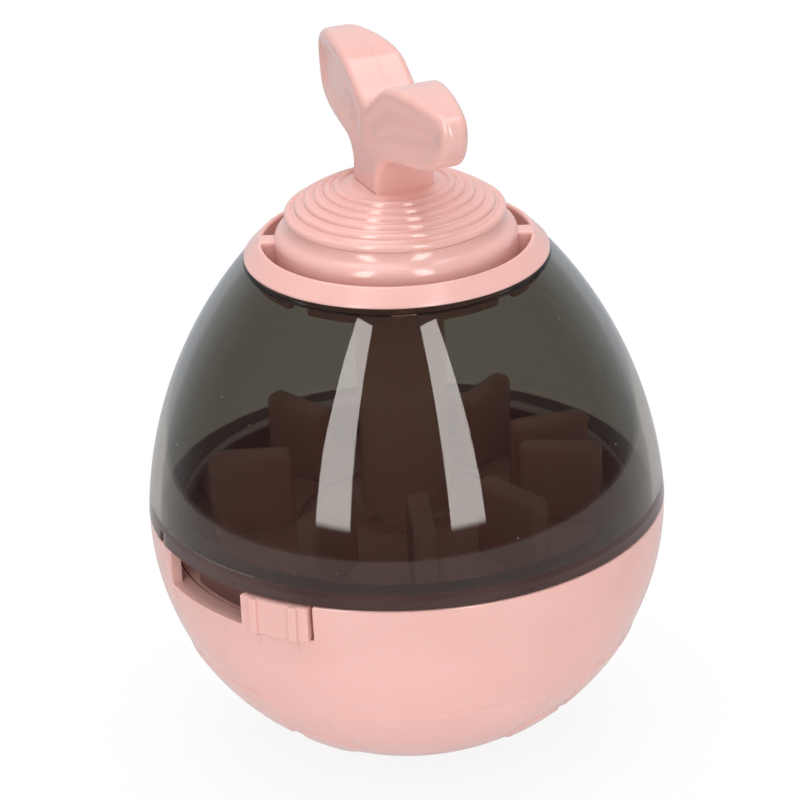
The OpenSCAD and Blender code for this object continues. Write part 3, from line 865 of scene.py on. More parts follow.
def pink_material():
    """Glossy moulded plastic with slow shade changes, rubbed patches, light edges and a little dust."""
    material, graph, shader = open_material("pink_plastic")
    mould = group_node(graph, MOULD, {"Color": opaque(PINK), "Deep Color": opaque(PINK_WARM),
                                      "Gloss": PINK_GLOSS, "Gloss Change": 0.06, "Relief": PINK_RELIEF})
    pointiness = graph.add("ShaderNodeNewGeometry").outputs["Pointiness"]
    edges = graph.ramp(pointiness, *EDGE_POINTINESS, 0.0, EDGE_WEAR)
    worn = graph.mix(edges, mould.outputs["Color"], opaque(PINK_WORN))
    dust = group_node(graph, SPECKS, {"Spacing": 7.0, "Speck Size": 0.13, "Share": 0.22})
    dusty = graph.mix(graph.times(dust.outputs["Mask"], DUST_SHARE), worn, opaque(PINK_DUST))
    feed_mould(graph, shader, mould, dusty)
    set_plain(shader, {"IOR": 1.52, "Subsurface Weight": 0.12, "Subsurface Radius": (0.9, 0.45, 0.35),
                       "Subsurface Scale": 0.0012})
    return material


def smoke_material():
    """Clear smoked plastic; its dust specks and frosted inner ledge and skirt have a painted glow."""
    material, graph, shader = open_material("smoked_plastic")
    place = millimetre_place(graph)
    cloud = graph.ramp(noise(graph, place, SMOKE_SCALE, 1.0), *SMOKE_RANGE)
    clear = graph.mix(graph.times(cloud, SMOKE_SHARE), opaque(SMOKE), opaque(SMOKE_DEEP))
    x, y, z = graph.split(place)
    low = graph.ramp(z, *FROST_Z)
    radius = graph.math("SQRT", graph.plus(graph.times(x, x), graph.times(y, y)))
    frosted = graph.times(low, graph.ramp(radius, *FROST_R))
    dust = group_node(graph, SPECKS, {"Spacing": 5.0, "Speck Size": 0.15, "Share": 0.3}).outputs["Mask"]
    handled = graph.ramp(noise(graph, place, SMEAR_SCALE, 1.0, 0.4), *HANDLED_RANGE, *SMOKE_ROUGH)
    rough = graph.plus(handled, graph.times(dust, DUST_ROUGH))
    # Painted warm glow on the frosted inner faces, none elsewhere
    frost_glow = graph.mix(frosted, opaque(BLACK), opaque(SMOKE_FROST_GLOW))
    graph.feed(shader.inputs["Base Color"], graph.mix(low, clear, opaque(SMOKE_LOW)))
    graph.feed(shader.inputs["Roughness"], graph.math("MULTIPLY_ADD", frosted, LEDGE_ROUGH, rough))
    # Emission: the painted glows, pale on the dust specks
    graph.feed(shader.inputs["Emission Color"], graph.mix(dust, frost_glow, opaque(SMOKE_DUST_GLOW)))
    set_plain(shader, {"Emission Strength": 1.0, "Transmission Weight": 1.0, "IOR": 1.49})
    return material


def metal_material(name, color, gloss, grain_size):
    """Plain metal with fine grain and dull patches."""
    material, graph, shader = open_material(name)
    darker = tuple(METAL_DEEP_SHARE * v for v in color)
    mould = group_node(graph, MOULD, {"Color": opaque(color), "Deep Color": opaque(darker), "Gloss": gloss,
                                      "Cloud Size": 6.0, "Grain Size": grain_size, "Gloss Change": 0.2,
                                      "Relief": 0.3})
    feed_mould(graph, shader, mould, mould.outputs["Color"])
    set_plain(shader, {"Metallic": 1.0})
    return material


# Base shell


def shell_latitudes():
    """Rows of the round wall, close together where the pads are; the last rows stop below the sill."""
    foot = -math.degrees(math.acos(FOOT_R / BODY_R))
    ends = [foot, *PAD_LATITUDES, UPPER_LATITUDE]
    bands = zip(ends, ends[1:], LATITUDE_STEPS)
    return [latitude for low, high, steps in bands for latitude in spread(low, high, steps)]


def pad_distance(turn, radius, z):
    """Distance from the edge of the nearest pad, negative inside it."""
    step = TURN / PAD_COUNT
    off = (turn - PAD_TURN + step / 2) % step - step / 2
    along = np.abs(radius * np.sin(np.radians(off)))
    low_z, high_z = PAD_Z[0] + PAD_CORNER, PAD_Z[1] - PAD_CORNER
    low_w, high_w = PAD_HALF_W[0] - PAD_CORNER, PAD_HALF_W[1] - PAD_CORNER
    lean = math.atan2(high_w - low_w, high_z - low_z)
    side = (along - low_w) * math.cos(lean) - (z - low_z) * math.sin(lean)
    across = np.maximum(low_z - z, z - high_z)
    outside = np.hypot(np.maximum(side, 0), np.maximum(across, 0))
    return outside + np.minimum(np.maximum(side, across), 0) - PAD_CORNER


def dot_distance(turn, radius, z):
    """Distance over the ball from the edge of the nearest round dot, negative inside it."""
    step = TURN / PAD_COUNT
    off = (turn - PAD_TURN) % step - step / 2
    drop = math.radians(-DOT_DROP)
    middle = math.cos(drop) * np.cos(np.radians(off)) * radius + math.sin(drop) * (z - WIDE_Z)
    reach = np.sqrt(radius**2 + (z - WIDE_Z) ** 2)
    return np.arccos(np.clip(middle / reach, -1, 1)) * BODY_R - DOT_R


def pad_height(x, y, z):
    """How far the wall stands out at a place: the pads and the round dots between them."""
    turn = np.degrees(np.arctan2(y, x))
    radius = np.hypot(x, y)
    nearest = np.minimum(pad_distance(turn, radius, z), dot_distance(turn, radius, z))
    edge = np.clip(0.5 - nearest / PAD_EDGE, 0, 1)
    return PAD_RISE * edge * edge * (3 - 2 * edge)


SHELL_LATITUDES = shell_latitudes()


def ball_latitude(z, radius):
    """Latitude of a height on a ball about the widest level."""
    return math.degrees(math.asin((z - WIDE_Z) / radius))


def shell_wall(turn, top):
    """Outside of the base shell up to a height, with its pads and dots."""
    upper = list(np.linspace(UPPER_LATITUDE, ball_latitude(top, BODY_R), LATITUDE_STEPS[-1]))
    lats = np.radians(SHELL_LATITUDES + upper[:-1])
    r, z = BODY_R * np.cos(lats), WIDE_Z + BODY_R * np.sin(lats)
    rise = pad_height(r * math.cos(math.radians(turn)), r * math.sin(math.radians(turn)), z)
    wall = [(a + h * math.cos(t), b + h * math.sin(t)) for a, b, h, t in zip(r, z, rise, lats)]
    return [(0.0, 0.0)] + wall


def shell_section(turn):
    """Half section of the base shell, from the foot up the outside and down the inside."""
    opening = step_between(turn, WINDOW, BODY_R)
    top = SEAM_Z - opening * (SEAM_Z - SILL_Z - LIP_RISE)
    slope_z = TRAY_SEAT_Z - LEDGE_T - (CAVITY_R - LEDGE_IN_R)
    inner_top = ball_latitude(slope_z + SLOPE_LIFT, CAVITY_R)
    inner = arc((0, WIDE_Z), CAVITY_R, inner_top, ball_latitude(WALL, CAVITY_R), CAVITY_ROWS)
    corners = [
        (BODY_R * math.cos(math.radians(ball_latitude(top, BODY_R))), top, FULL),
        (CAVITY_R + WALL_LEAN, top, EVEN),
        (CAVITY_R - WALL_LEAN, SILL_Z, CRISP),
        (SILL_IN_R, SILL_Z, SOFT),
        (SILL_IN_R, TRAY_SEAT_Z, CRISP),
        (LEDGE_IN_R, TRAY_SEAT_Z, EVEN),
        (LEDGE_IN_R, TRAY_SEAT_Z - LEDGE_T, EVEN),
    ]
    return rounded(shell_wall(turn, top) + corners + inner + [(0.0, WALL)], closed=False)


def make_marks(pink):
    """Opening marks, each brought in to the round wall so that it stands out evenly."""
    radii = (BODY_R - 1, BODY_R + MARK_RISE)
    marks = blocks("opening_marks", MARK_TURNS, radii, MARK_Z, MARK_W, FINE_EDGE, pink)
    for vertex in marks.data.vertices:
        place = vertex.co / MM
        radius = math.hypot(place.x, place.y)
        wall = math.sqrt(BODY_R**2 - (place.z - WIDE_Z) ** 2)
        vertex.co.x *= (radius + wall - BODY_R) / radius
        vertex.co.y *= (radius + wall - BODY_R) / radius
    return marks


def make_base_shell(pink):
    """Base shell with its window, pads, opening marks, lock rails and their stops."""
    turns = with_edges(spread(0, TURN, SHELL_STEPS), WINDOW, BODY_R)
    shell = sweep("lower_shell", turns, shell_section, closed=False)
    marks = make_marks(pink)
    lock_turns = [LOCK_TURN + TURN * k / LOCK_COUNT for k in range(LOCK_COUNT)]
    outer = CAVITY_R + WALL / 2
    radii = (SKIRT_OUT_R + RUN_GAP, outer)
    top = SEAM_Z - RUN_GAP
    lock_w = math.radians(LOCK_SPAN + STOP_SPAN) * outer
    locks = blocks("lock_rails", [t - STOP_SPAN / 2 + LOCK_SPAN / 2 for t in lock_turns], radii,
                   (top - LOCK_T, top), lock_w, FINE_EDGE, pink, steps=LOCK_STEPS)
    stops = blocks("lock_stops", [t - STOP_SPAN / 2 for t in lock_turns], radii,
                   (top - STOP_H, top), math.radians(STOP_SPAN) * outer, FINE_EDGE, pink)
    whole = joined("lower_shell", [shell, marks, locks, stops])
    return dress(whole, "base", "pink_plastic", pink, "base_shell")


# Outlet slider


def bevel_edges(piece, width, segments, angle):
    """Rounds the edges whose faces meet at more than the angle."""
    bevel = piece.modifiers.new("edges", "BEVEL")
    bevel.width = width * MM
    bevel.segments = segments
    bevel.limit_method = "ANGLE"
    bevel.angle_limit = math.radians(angle)
    bevel.harden_normals = True
    return evaluated(piece)


def make_slider(pink):
    """Curved gate with its plate before the sill, two grip ribs and the guide tail behind the wall."""
    start = GATE_END - GATE_SPAN
    inside = CAVITY_R - RUN_GAP
    face = BODY_R + RUN_GAP
    plate = face + PLATE_T
    low, high = SILL_Z + RUN_GAP, SEAM_Z - RUN_GAP
    section = [(inside, high), (inside, low), (face, low), (face, SILL_Z), (plate, SILL_Z), (plate, high)]
    turns = list(np.linspace(start, GATE_END, GATE_STEPS))
    gate = sweep("outlet_gate", turns, lambda turn: section, ring=False, sharp=GATE_SHARP)
    bevel_edges(gate, FINE, BEVEL_STEPS, BEVEL_ANGLE)
    inset = GRIP_MARGIN + math.degrees(GRIP_W / 2 / BODY_R)
    grips = blocks("grip_ribs", [start + inset, GATE_END - inset], (face - GRIP_SINK, plate + GRIP_RISE),
                   (SILL_Z - GRIP_DROP, high), GRIP_W, GRIP_EDGE, pink)
    span = GATE_SPAN + TAIL_SPAN
    tail = blocks("guide_tail", [start + span / 2], (SKIRT_OUT_R + 2 * RUN_GAP, inside), (low, low + TAIL_H),
                  math.radians(span) * inside, FINE, pink, steps=TAIL_STEPS)
    whole = joined("outlet_gate", [gate, grips, tail])
    return dress(whole, "slider", "pink_plastic", pink, "outlet_slider")


# Dome


def dome_cut(turn, z):
    """Depth of the small notch and the fine line on the dome's lower edge."""
    depth = 0.0
    for angle, width, deep in (NOTCH, LINE):
        off = abs(turn - angle) * math.radians(BODY_R)
        across = np.clip((width / 2 - off) / NOTCH_BLEND + 0.5, 0, 1)
        upright = np.clip((DOME_LOW_Z + NOTCH_H - z) / NOTCH_FADE, 0, 1)
        depth = max(depth, deep * across * upright)
    return depth


def dome_latitude(z, radius=ARC_R):
    """Angle at which the dome's arc reaches a height."""
    return math.degrees(math.asin((z - ARC_Z) / radius))


def dome_section(turn):
    """Section of the dome: curved wall, shoulder over the rim and the skirt inside the base."""
    centre = (ARC_X, ARC_Z)
    near = dome_latitude(DOME_LOW_Z + NOTCH_H)
    outer = [*arc(centre, ARC_R, dome_latitude(DOME_LOW_Z), near, NOTCH_STEPS)[1:],
             *arc(centre, ARC_R, near + NOTCH_ROW, dome_latitude(RING_Z), DOME_ROWS[0])[:-1]]
    outer = [(r - dome_cut(turn, z), z) for r, z in outer]
    inner_r = ARC_R - DOME_WALL
    inner_top = RING_Z - DOME_WALL
    inner_turns = (dome_latitude(inner_top, inner_r), dome_latitude(SHOULDER_Z, inner_r))
    inner = arc(centre, inner_r, *inner_turns, DOME_ROWS[1])
    open_share = step_between(turn, OUTLET, SKIRT_OUT_R)
    skirt_z = SILL_Z + open_share * (OUTLET_TOP_Z - SILL_Z)
    corners = [(SEAM_R - dome_cut(turn, DOME_LOW_Z), DOME_LOW_Z, FINE)] + outer + [
        (RING_R, RING_Z, FULL),
        (BORE_R, RING_Z, EVEN),
        (BORE_R, inner_top, FINE),
        (inner[0][0], inner_top, TIGHT),
    ] + inner[1:-1] + [
        (inner[-1][0], SHOULDER_Z, SOFT),
        (SKIRT_IN_R, SHOULDER_Z, BROAD),
        (SKIRT_IN_R, skirt_z, EVEN),
        (SKIRT_OUT_R, skirt_z, EVEN),
        (SKIRT_OUT_R, DOME_LOW_Z, EVEN),
    ]
    return rounded(corners)


def make_dome(smoke):
    """Smoked dome with its skirt, outlet, small marks and turning lugs."""
    cuts = [NOTCH[0], LINE[0]]
    fine = [a + math.degrees(s / BODY_R) for a in cuts for s in NOTCH_COLUMNS]
    plain_turns = [t for t in spread(0, TURN, DOME_STEPS) if all(abs(t - a) > NOTCH_REACH for a in cuts)]
    dome = sweep("smoked_dome", with_edges(sorted(plain_turns + fine), OUTLET, SKIRT_OUT_R), dome_section)
    lug_top = SEAM_Z - 2 * RUN_GAP - LOCK_T
    lug_w = math.radians(LUG_SPAN) * (CAVITY_R - RUN_GAP)
    lugs = blocks("dome_lugs", [LUG_TURN + TURN * k / LOCK_COUNT for k in range(LOCK_COUNT)],
                  (SKIRT_OUT_R + LUG_ROOT, CAVITY_R - RUN_GAP), (lug_top - LUG_T, lug_top), lug_w, EVEN,
                  smoke, steps=LUG_STEPS)
    whole = joined("smoked_dome", [dome, lugs])
    return dress(whole, "dome", "smoked_plastic", smoke, "dome_shell")


# Cap ring


def band_section(turn):
    """Sloping band and its snap skirt, which is cut into segments."""
    step = TURN / SNAP_COUNT
    off = (turn - SNAP_TURN + step / 2) % step - step / 2
    cut = step_between(off, (-SNAP_CUT / 2, SNAP_CUT / 2), SNAP_OUT_R, SNAP_CUT_EDGE)
    low = SNAP_LOW_Z + cut * (RING_Z - SEAT_GAP - SNAP_LOW_Z - SNAP_CUT_TOP)
    return rounded([
        (BAND_OUT_R, RING_Z, BAND_FOOT), (BAND_OUT_R, RING_Z + BAND_EDGE, BROAD),
        (SLOT_OUT_R, BAND_TOP_Z, BAND_CREST), (SLOT_OUT_R, low, FINE), (SNAP_OUT_R, low, FINE),
        (SNAP_OUT_R, RING_Z, TIGHT)])


def collar_section(turn):
    """Collar round the throat: it flares out in an S and goes on as a thin skirt."""
    turned = math.degrees(math.asin(FLARE_H / 2 / FLARE_R))
    hollow = arc((NECK_R + FLARE_R, COLLAR_TOP_Z), FLARE_R, 180 + turned, 180, FLARE_STEPS)
    shoulder = arc((COLLAR_R - FLARE_R, COLLAR_TOP_Z - FLARE_H), FLARE_R, 0, turned, FLARE_STEPS)
    skirt_in_r = COLLAR_R - COLLAR_SKIRT_T
    corners = [(THROAT_R, COLLAR_TOP_Z, FINE), (THROAT_R, COLLAR_LOW_Z, FINE),
               (skirt_in_r, COLLAR_LOW_Z, EVEN), (skirt_in_r, COLLAR_SKIRT_Z, EVEN),
               (COLLAR_R, COLLAR_SKIRT_Z, EVEN)]
    corners += shoulder[:-1] + hollow[:-1] + [(NECK_R, COLLAR_TOP_Z, FINE)]
    return rounded(corners)


def make_cap_ring(pink):
    """Band, collar and the two bridges between them."""
    step = TURN / SNAP_COUNT
    cuts = [(SNAP_TURN + step * k + side * SNAP_CUT / 2) % TURN
            for k in range(SNAP_COUNT) for side in (-1, 1)]
    band = sweep("cap_ring", with_edges(spread(0, TURN, RING_STEPS), cuts, SNAP_OUT_R), band_section)
    collar = sweep("collar", spread(0, TURN, RING_STEPS), collar_section)
    bridges = blocks("bridges", [0, 180], (COLLAR_R - BRIDGE_ROOT, SLOT_OUT_R + BRIDGE_ROOT),
                     (COLLAR_SKIRT_Z, BAND_TOP_Z - BAND_EDGE), BRIDGE_W, BRIDGE_EDGE, pink, bend=0.0)
    whole = joined("cap_ring", [band, collar, bridges])
    return dress(whole, "dome", "pink_plastic", pink, "cap_ring")


# Lid


def lid_section(turn):
    """Lid before its inner ribs: crown, outermost rib and the plug below."""
    flat_edge = math.degrees(math.acos(FLAT_R / CROWN_R))
    centre_r = CROWN_R - RIB_SINK
    rib_turn = math.acos(RIB_LAST_R / centre_r)
    reach = math.acos((CROWN_R**2 + centre_r**2 - RIB_R**2) / (2 * CROWN_R * centre_r))
    crown = arc((0, CROWN_Z), CROWN_R, flat_edge - CROWN_START, math.degrees(rib_turn + reach), CROWN_ROWS)
    rib_z = CROWN_Z + centre_r * math.sin(rib_turn)
    start = math.degrees(math.atan2(crown[-1][1] - rib_z, crown[-1][0] - RIB_LAST_R))
    end = math.degrees(math.asin((LID_LOW_Z - rib_z) / RIB_R))
    rim = arc((RIB_LAST_R, rib_z), RIB_R, start, end, RIM_ROWS)
    top = [(0.0, FLAT_Z), *[(share * FLAT_R, FLAT_Z) for share in FLAT_SHARES], (FLAT_R, FLAT_Z, FLAT_EDGE)]
    roof_z = FLAT_Z - ROOF_T
    plug_in_r = PLUG_R - PLUG_WALL
    under = [(PLUG_R, LID_LOW_Z, CRISP), (PLUG_R, PLUG_LOW_Z, FULL), (plug_in_r, PLUG_LOW_Z, FULL),
             (plug_in_r, LID_LOW_Z + PLUG_FILLET, PLUG_FILLET), (FLAT_R, roof_z, ROOF_FILLET), (0.0, roof_z)]
    return rounded(top + crown[1:] + rim[1:] + under, closed=False)


def socket_cutter():
    """Rounded post that cuts the seat of the sprout's stem."""
    half_w, half_t = STEM_W / 2 + SOCKET_GAP - STEM_EDGE, STEM_T / 2 + SOCKET_GAP - STEM_EDGE
    points = []
    for sx, sy, start in ((1, 1, 0), (-1, 1, 90), (-1, -1, 180), (1, -1, 270)):
        points += arc((sx * half_w, sy * half_t), STEM_EDGE, start, start + 90, SOCKET_STEPS)
    low, high = FLAT_Z - SOCKET_T, FLAT_Z + SOCKET_OVERRUN
    vertices = [(x, y, z) for z in (low, high) for x, y in points]
    count = len(points)
    faces = [tuple(range(count)), tuple(range(count, 2 * count))]
    faces += [(k, (k + 1) % count, (k + 1) % count + count, k + count) for k in range(count)]
    cutter = finish_mesh("socket_cutter", vertices, faces)
    cutter.data.transform(Matrix.Rotation(math.radians(LEAF_ANGLE), 4, "Z"))
    return cutter


def make_lid(pink):
    """Ribbed lid with the plug that closes the throat."""
    lid = sweep("ribbed_lid", spread(0, TURN, LID_STEPS), lid_section, closed=False)
    set_inputs(lid, RIBS, {
        "Outer Radius": (RIB_LAST_R - RIB_PITCH) * MM, "Pitch": RIB_PITCH * MM, "Ribs": RIB_COUNT - 1,
        "Rib Radius": RIB_R * MM, "Sink": RIB_SINK * MM, "Softness": RIB_SOFTNESS * MM,
        "Low": (LID_LOW_Z + 0.5) * MM, "Material": pink})
    evaluated(lid)
    cutter = socket_cutter()
    cut = lid.modifiers.new("socket", "BOOLEAN")
    cut.object = cutter
    cut.operation = "DIFFERENCE"
    cut.solver = "EXACT"
    evaluated(lid)
    bpy.data.objects.remove(cutter)
    work = bmesh.new()
    work.from_mesh(lid.data)
    mark_sharp(work, LID_SHARP)
    work.to_mesh(lid.data)
    work.free()
    return dress(lid, "lid", "pink_plastic", pink, "fill_lid")


# Sprout


def blend_point(a, b, c, d, t):
    """Place on a smooth curve through four points, between the second and the third."""
    return (2 * b + t * (c - a) + t * t * (2 * a - 5 * b + 4 * c - d) + t**3 * (3 * b - a - 3 * c + d)) / 2


def leaf_outline():
    """Outline of the sprout in the plane of its leaves, as evenly spaced points."""
    shares = np.array(LEAF_SHARES) * (LEAF_REACH, LEAF_H)
    last = len(shares) - 1
    foot = -SOCKET_T + SEAT_GAP
    points = [np.array((-STEM_W / 2, foot)), np.array((STEM_W / 2, foot))]
    for i in range(last):
        around = [shares[max(i - 1, 0)], shares[i], shares[i + 1], shares[min(i + 2, last)]]
        points += [blend_point(*around, k / CURVE_STEPS) for k in range(CURVE_STEPS)]
    points.append(shares[last])
    loop = np.array(points + [points[0]])
    steps = np.linalg.norm(np.diff(loop, axis=0), axis=1)
    along = np.concatenate([[0], np.cumsum(steps)])
    count = int(along[-1] / OUTLINE_STEP)
    places = np.linspace(0, along[-1], count, endpoint=False)
    return np.stack([np.interp(places, along, loop[:, 0]), np.interp(places, along, loop[:, 1])], axis=1)


def edge_distance(points, outline):
    """Distance of each point from the outline, negative outside it."""
    a, b = outline, np.roll(outline, -1, axis=0)
    side = b - a
    rel = points[:, None] - a[None]
    t = np.clip((rel * side).sum(2) / (side**2).sum(1), 0, 1)
    distance = np.linalg.norm(rel - t[..., None] * side, axis=2).min(axis=1)
    above = (a[None, :, 1] > points[:, None, 1]) != (b[None, :, 1] > points[:, None, 1])
    height = np.where(b[:, 1] == a[:, 1], LEAST_HEIGHT, b[:, 1] - a[:, 1])
    cross = a[:, 0] + (points[:, None, 1] - a[:, 1]) * side[:, 0] / height
    inside = (above & (points[:, None, 0] < cross)).sum(1) % 2 == 1
    return np.where(inside, distance, -distance)


def leaf_face(points, depth):
    """Height of the leaf's face over its parting plane at points that lie this deep inside the outline."""
    u, v = points[:, 0], points[:, 1]
    along = np.clip((np.abs(u) - STEM_W / 2) / (LEAF_REACH - STEM_W / 2), 0, 1)
    full = STEM_T / 2 - (STEM_T - TIP_T) / 2 * along**TAPER_POWER
    edge = STEM_EDGE + (LEAF_EDGE - STEM_EDGE) * smooth_share(v / LEAF_H, *STEM_END)
    inner = np.clip(edge - depth, 0, edge)
    roll = edge - np.sqrt(np.maximum(edge**2 - inner**2, 0))
    fold = np.interp(u / LEAF_REACH, FOLD_U_SHARES, FOLD_V_SHARES) * LEAF_H
    in_leaf = smooth_share(v / LEAF_H, *LEAF_START) * smooth_share(np.abs(u), 0.5, 4.0)
    dish = smooth_share(depth, *DISH_SLOPE) * in_leaf
    below = 0.5 - 0.5 * np.tanh((v - fold) / FOLD_BLEND)
    return full - roll - dish * (DISH_DEPTH + FOLD_DEPTH * below)


def smooth_share(value, low, high):
    """Rises smoothly from 0 to 1 as the value goes from low to high."""
    t = np.clip((value - low) / (high - low), 0, 1)
    return t * t * (3 - 2 * t)


def parting_bevel(outline):
    """Width of the bevel at the parting plane: it opens a little on the inner side of the left leaf."""
    u, v = outline[:, 0] / LEAF_REACH, outline[:, 1] / LEAF_H
    opened = smooth_share(u, *PARTING_OPENS) * smooth_share(-u, *PARTING_SHUTS) * (v > 0.5)
    return PARTING_EDGE[0] + PARTING_EDGE[1] * opened


def triangles(outline, extra):
    """Triangles that fill an outline through extra points; returns all points and the triangles."""
    points = np.concatenate([outline, extra]) if len(extra) else outline
    count = len(outline)
    result = delaunay_2d_cdt([Vector(p) for p in points], [], [list(range(count))], 1, SAME_PLACE)
    return np.array([tuple(p) for p in result[0]]), [tuple(face) for face in result[2]]


def face_cells(outline, inward):
    """Triangles of the leaf's face, through rings that follow its edge and an even grid inside them."""
    rings = []
    for depth in RING_DEPTHS:
        ring = outline + inward * depth
        rings.append(ring[edge_distance(ring, outline) > RING_SHARE * depth])
    low, high = outline.min(0), outline.max(0)
    grid = np.array([(x + (j % 2) * GRID_STEP / 2, y)
                     for j, y in enumerate(np.arange(low[1], high[1], GRID_STEP * ROW_SHARE))
                     for x in np.arange(low[0], high[0], GRID_STEP)])
    grid = grid[edge_distance(grid, outline) > GRID_MARGIN]
    return triangles(outline, np.concatenate(rings + [grid]))


def wall_layers(outline, parting, bevel, wall):
    """Loops of the half's side wall, each as places and levels, from the parting plane to the face."""
    count = len(outline)
    foot = PARTING_GAP + bevel
    layers = [(parting, np.full(count, PARTING_GAP)), (outline, np.full(count, foot))]
    layers += [(outline, foot + (wall - PARTING_GAP - bevel) * share) for share in WALL_SHARES]
    return layers


def sprout_half(name, side, pink):
    """One half of the sprout: rolled edge, dished leaves and a flat parting face."""
    outline = leaf_outline()
    count = len(outline)
    tangent = np.roll(outline, -1, axis=0) - np.roll(outline, 1, axis=0)
    inward = np.stack([-tangent[:, 1], tangent[:, 0]], axis=1)
    inward /= np.linalg.norm(inward, axis=1)[:, None]
    face_points, faces = face_cells(outline, inward)
    depth = np.maximum(edge_distance(face_points, outline), 0)
    depth[:count] = 0
    heights = leaf_face(face_points, depth)
    bevel = parting_bevel(outline)
    parting = outline + inward * bevel[:, None]
    vertices = [(*p, w) for p, w in zip(face_points, heights)]
    loops = []
    for places, levels in wall_layers(outline, parting, bevel, heights[:count]):
        loops.append(list(range(len(vertices), len(vertices) + count)))
        vertices += [(*p, w) for p, w in zip(places, levels)]
    loops.append(list(range(count)))
    for lower, upper in zip(loops, loops[1:]):
        faces += [(lower[k], lower[(k + 1) % count], upper[(k + 1) % count], upper[k]) for k in range(count)]
    flat_points, flat_cells = triangles(parting, [])
    base = len(vertices)
    vertices += [(*p, PARTING_GAP) for p in flat_points]
    faces += [tuple(base + k for k in cell) for cell in flat_cells]
    piece = finish_mesh(name, [(u, side * w, v + FLAT_Z) for u, v, w in vertices], faces, sharp=SPROUT_SHARP)
    piece.data.transform(Matrix.Rotation(math.radians(LEAF_ANGLE), 4, "Z"))
    return dress(piece, "lid", "pink_plastic", pink, name)


# Inside


def tray_z(radius):
    """Height of the tray's sloping face at a radius."""
    return TRAY_TOP_Z + TRAY_SLOPE * (TRAY_RIM_R - radius)


def make_maze(pink):
    """Sloping maze ring with its rounded fins, whose feet follow the slope."""
    inner, outer = FIN_IN_R - 1, FIN_OUT_R - 1
    plate = sweep("maze_ring", spread(0, TURN, MAZE_STEPS), lambda turn: rounded([
        (inner, tray_z(inner) + TRAY_GAP, CRISP), (outer, tray_z(outer) + TRAY_GAP, CRISP),
        (outer, tray_z(outer) + PLATE_RISE, SOFT), (inner, tray_z(inner) + PLATE_RISE, SOFT)]))
    foot_z = tray_z(FIN_IN_R)
    fins = blocks("maze_fins", FIN_TURNS, (FIN_IN_R, FIN_OUT_R), (foot_z + TRAY_GAP, FIN_TOP_Z), FIN_T,
                  FIN_EDGE, pink, bend=0.0)
    for vertex in fins.data.vertices:
        place = vertex.co / MM
        radius = math.hypot(place.x, place.y)
        share = (FIN_TOP_Z - place.z) / (FIN_TOP_Z - foot_z)
        vertex.co.z -= max(0.0, share) * TRAY_SLOPE * (radius - FIN_IN_R) * MM
    dress(joined("maze_ring", [plate, fins]), "base", "pink_plastic", pink, "maze_ring")


def make_column(pink):
    """Hollow centre column, closed at the top, with the screw's hole in its foot."""
    foot_z, floor_z = column_low.z, column_low.z + COLUMN_FOOT_T
    bore_r, roof_z = COLUMN_R - COLUMN_WALL, COLUMN_TOP_Z - COLUMN_WALL
    column = sweep("centre_column", spread(0, TURN, COLUMN_STEPS), lambda turn: rounded([
        (0.0, COLUMN_TOP_Z), (TOP_SHARE * COLUMN_R, COLUMN_TOP_Z), (COLUMN_R, COLUMN_TOP_Z, COLUMN_EDGE),
        (COLUMN_R, foot_z, EVEN), (COLUMN_HOLE_R, foot_z, CRISP), (COLUMN_HOLE_R, floor_z, CRISP),
        (bore_r, floor_z, SOFT), (bore_r, roof_z, SOFT), (0.0, roof_z)], closed=False), closed=False)
    dress(column, "base", "pink_plastic", pink, "centre_column")


def finish_cad_nodes(pink, steel, iron):
    """Materials of the CAD pieces that stay."""
    finishes = {"food_tray": pink, "ballast_cover": pink, "ballast_weight": iron, "ballast_screws": steel,
                "tray_screws": steel, "column_screw": steel, "sprout_screws": steel}
    for name, material in finishes.items():
        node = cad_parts[name]
        node.data.materials.clear()
        node.data.materials.append(material)


# Studio


def floor_material():
    """Pale paper: white to the camera but for a faint shadow near the foot, a little darker in gloss."""
    material = bpy.data.materials.new("pale_table")
    material.use_nodes = True
    graph = Graph(material.node_tree)
    graph.nodes.remove(graph.nodes["Principled BSDF"])
    place = millimetre_place(graph)
    paper = graph.mix(noise(graph, place, PAPER_SCALE, 3.0), opaque(PAPER[0]), opaque(PAPER[1]))
    matte = graph.add("ShaderNodeBsdfDiffuse", {"Color": paper})
    glow = graph.add("ShaderNodeEmission", {"Color": opaque(WHITE), "Strength": 1.0})
    mirrored = graph.add("ShaderNodeEmission", {"Color": opaque(FLOOR_MIRRORED), "Strength": FLOOR_GLOSS})
    path = graph.add("ShaderNodeLightPath")
    shadow = graph.ramp(graph.length(place), *SHADOW_REACH, FLOOR_SHADOW, 0.0)
    seen = graph.math("MAXIMUM", path.outputs["Is Camera Ray"], path.outputs["Is Transmission Ray"])
    shown = graph.add("ShaderNodeMixShader", {0: shadow, 1: glow, 2: matte})
    lit = graph.add("ShaderNodeMixShader", {0: path.outputs["Is Glossy Ray"], 1: matte, 2: mirrored})
    final = graph.add("ShaderNodeMixShader", {0: seen, 1: lit, 2: shown})
    graph.feed(graph.nodes["Material Output"].inputs["Surface"], final)
    return material


def make_floor():
    """Round pale table, built in rings."""
    steps = TABLE_STEPS
    vertices = [(0, 0, 0)]
    for radius in TABLE_RINGS:
        vertices += [(radius * math.cos(math.tau * k / steps), radius * math.sin(math.tau * k / steps), 0)
                     for k in range(steps)]
    faces = [(0, 1 + k, 1 + (k + 1) % steps) for k in range(steps)]
    for ring in range(len(TABLE_RINGS) - 1):
        a, b = 1 + ring * steps, 1 + (ring + 1) * steps
        faces += [(a + k, b + k, b + (k + 1) % steps, a + (k + 1) % steps) for k in range(steps)]
    placed = [(x + TABLE_CENTRE[0], y + TABLE_CENTRE[1], z) for x, y, z in vertices]
    floor = finish_mesh("floor", placed, faces)
    floor.data.materials.append(floor_material())


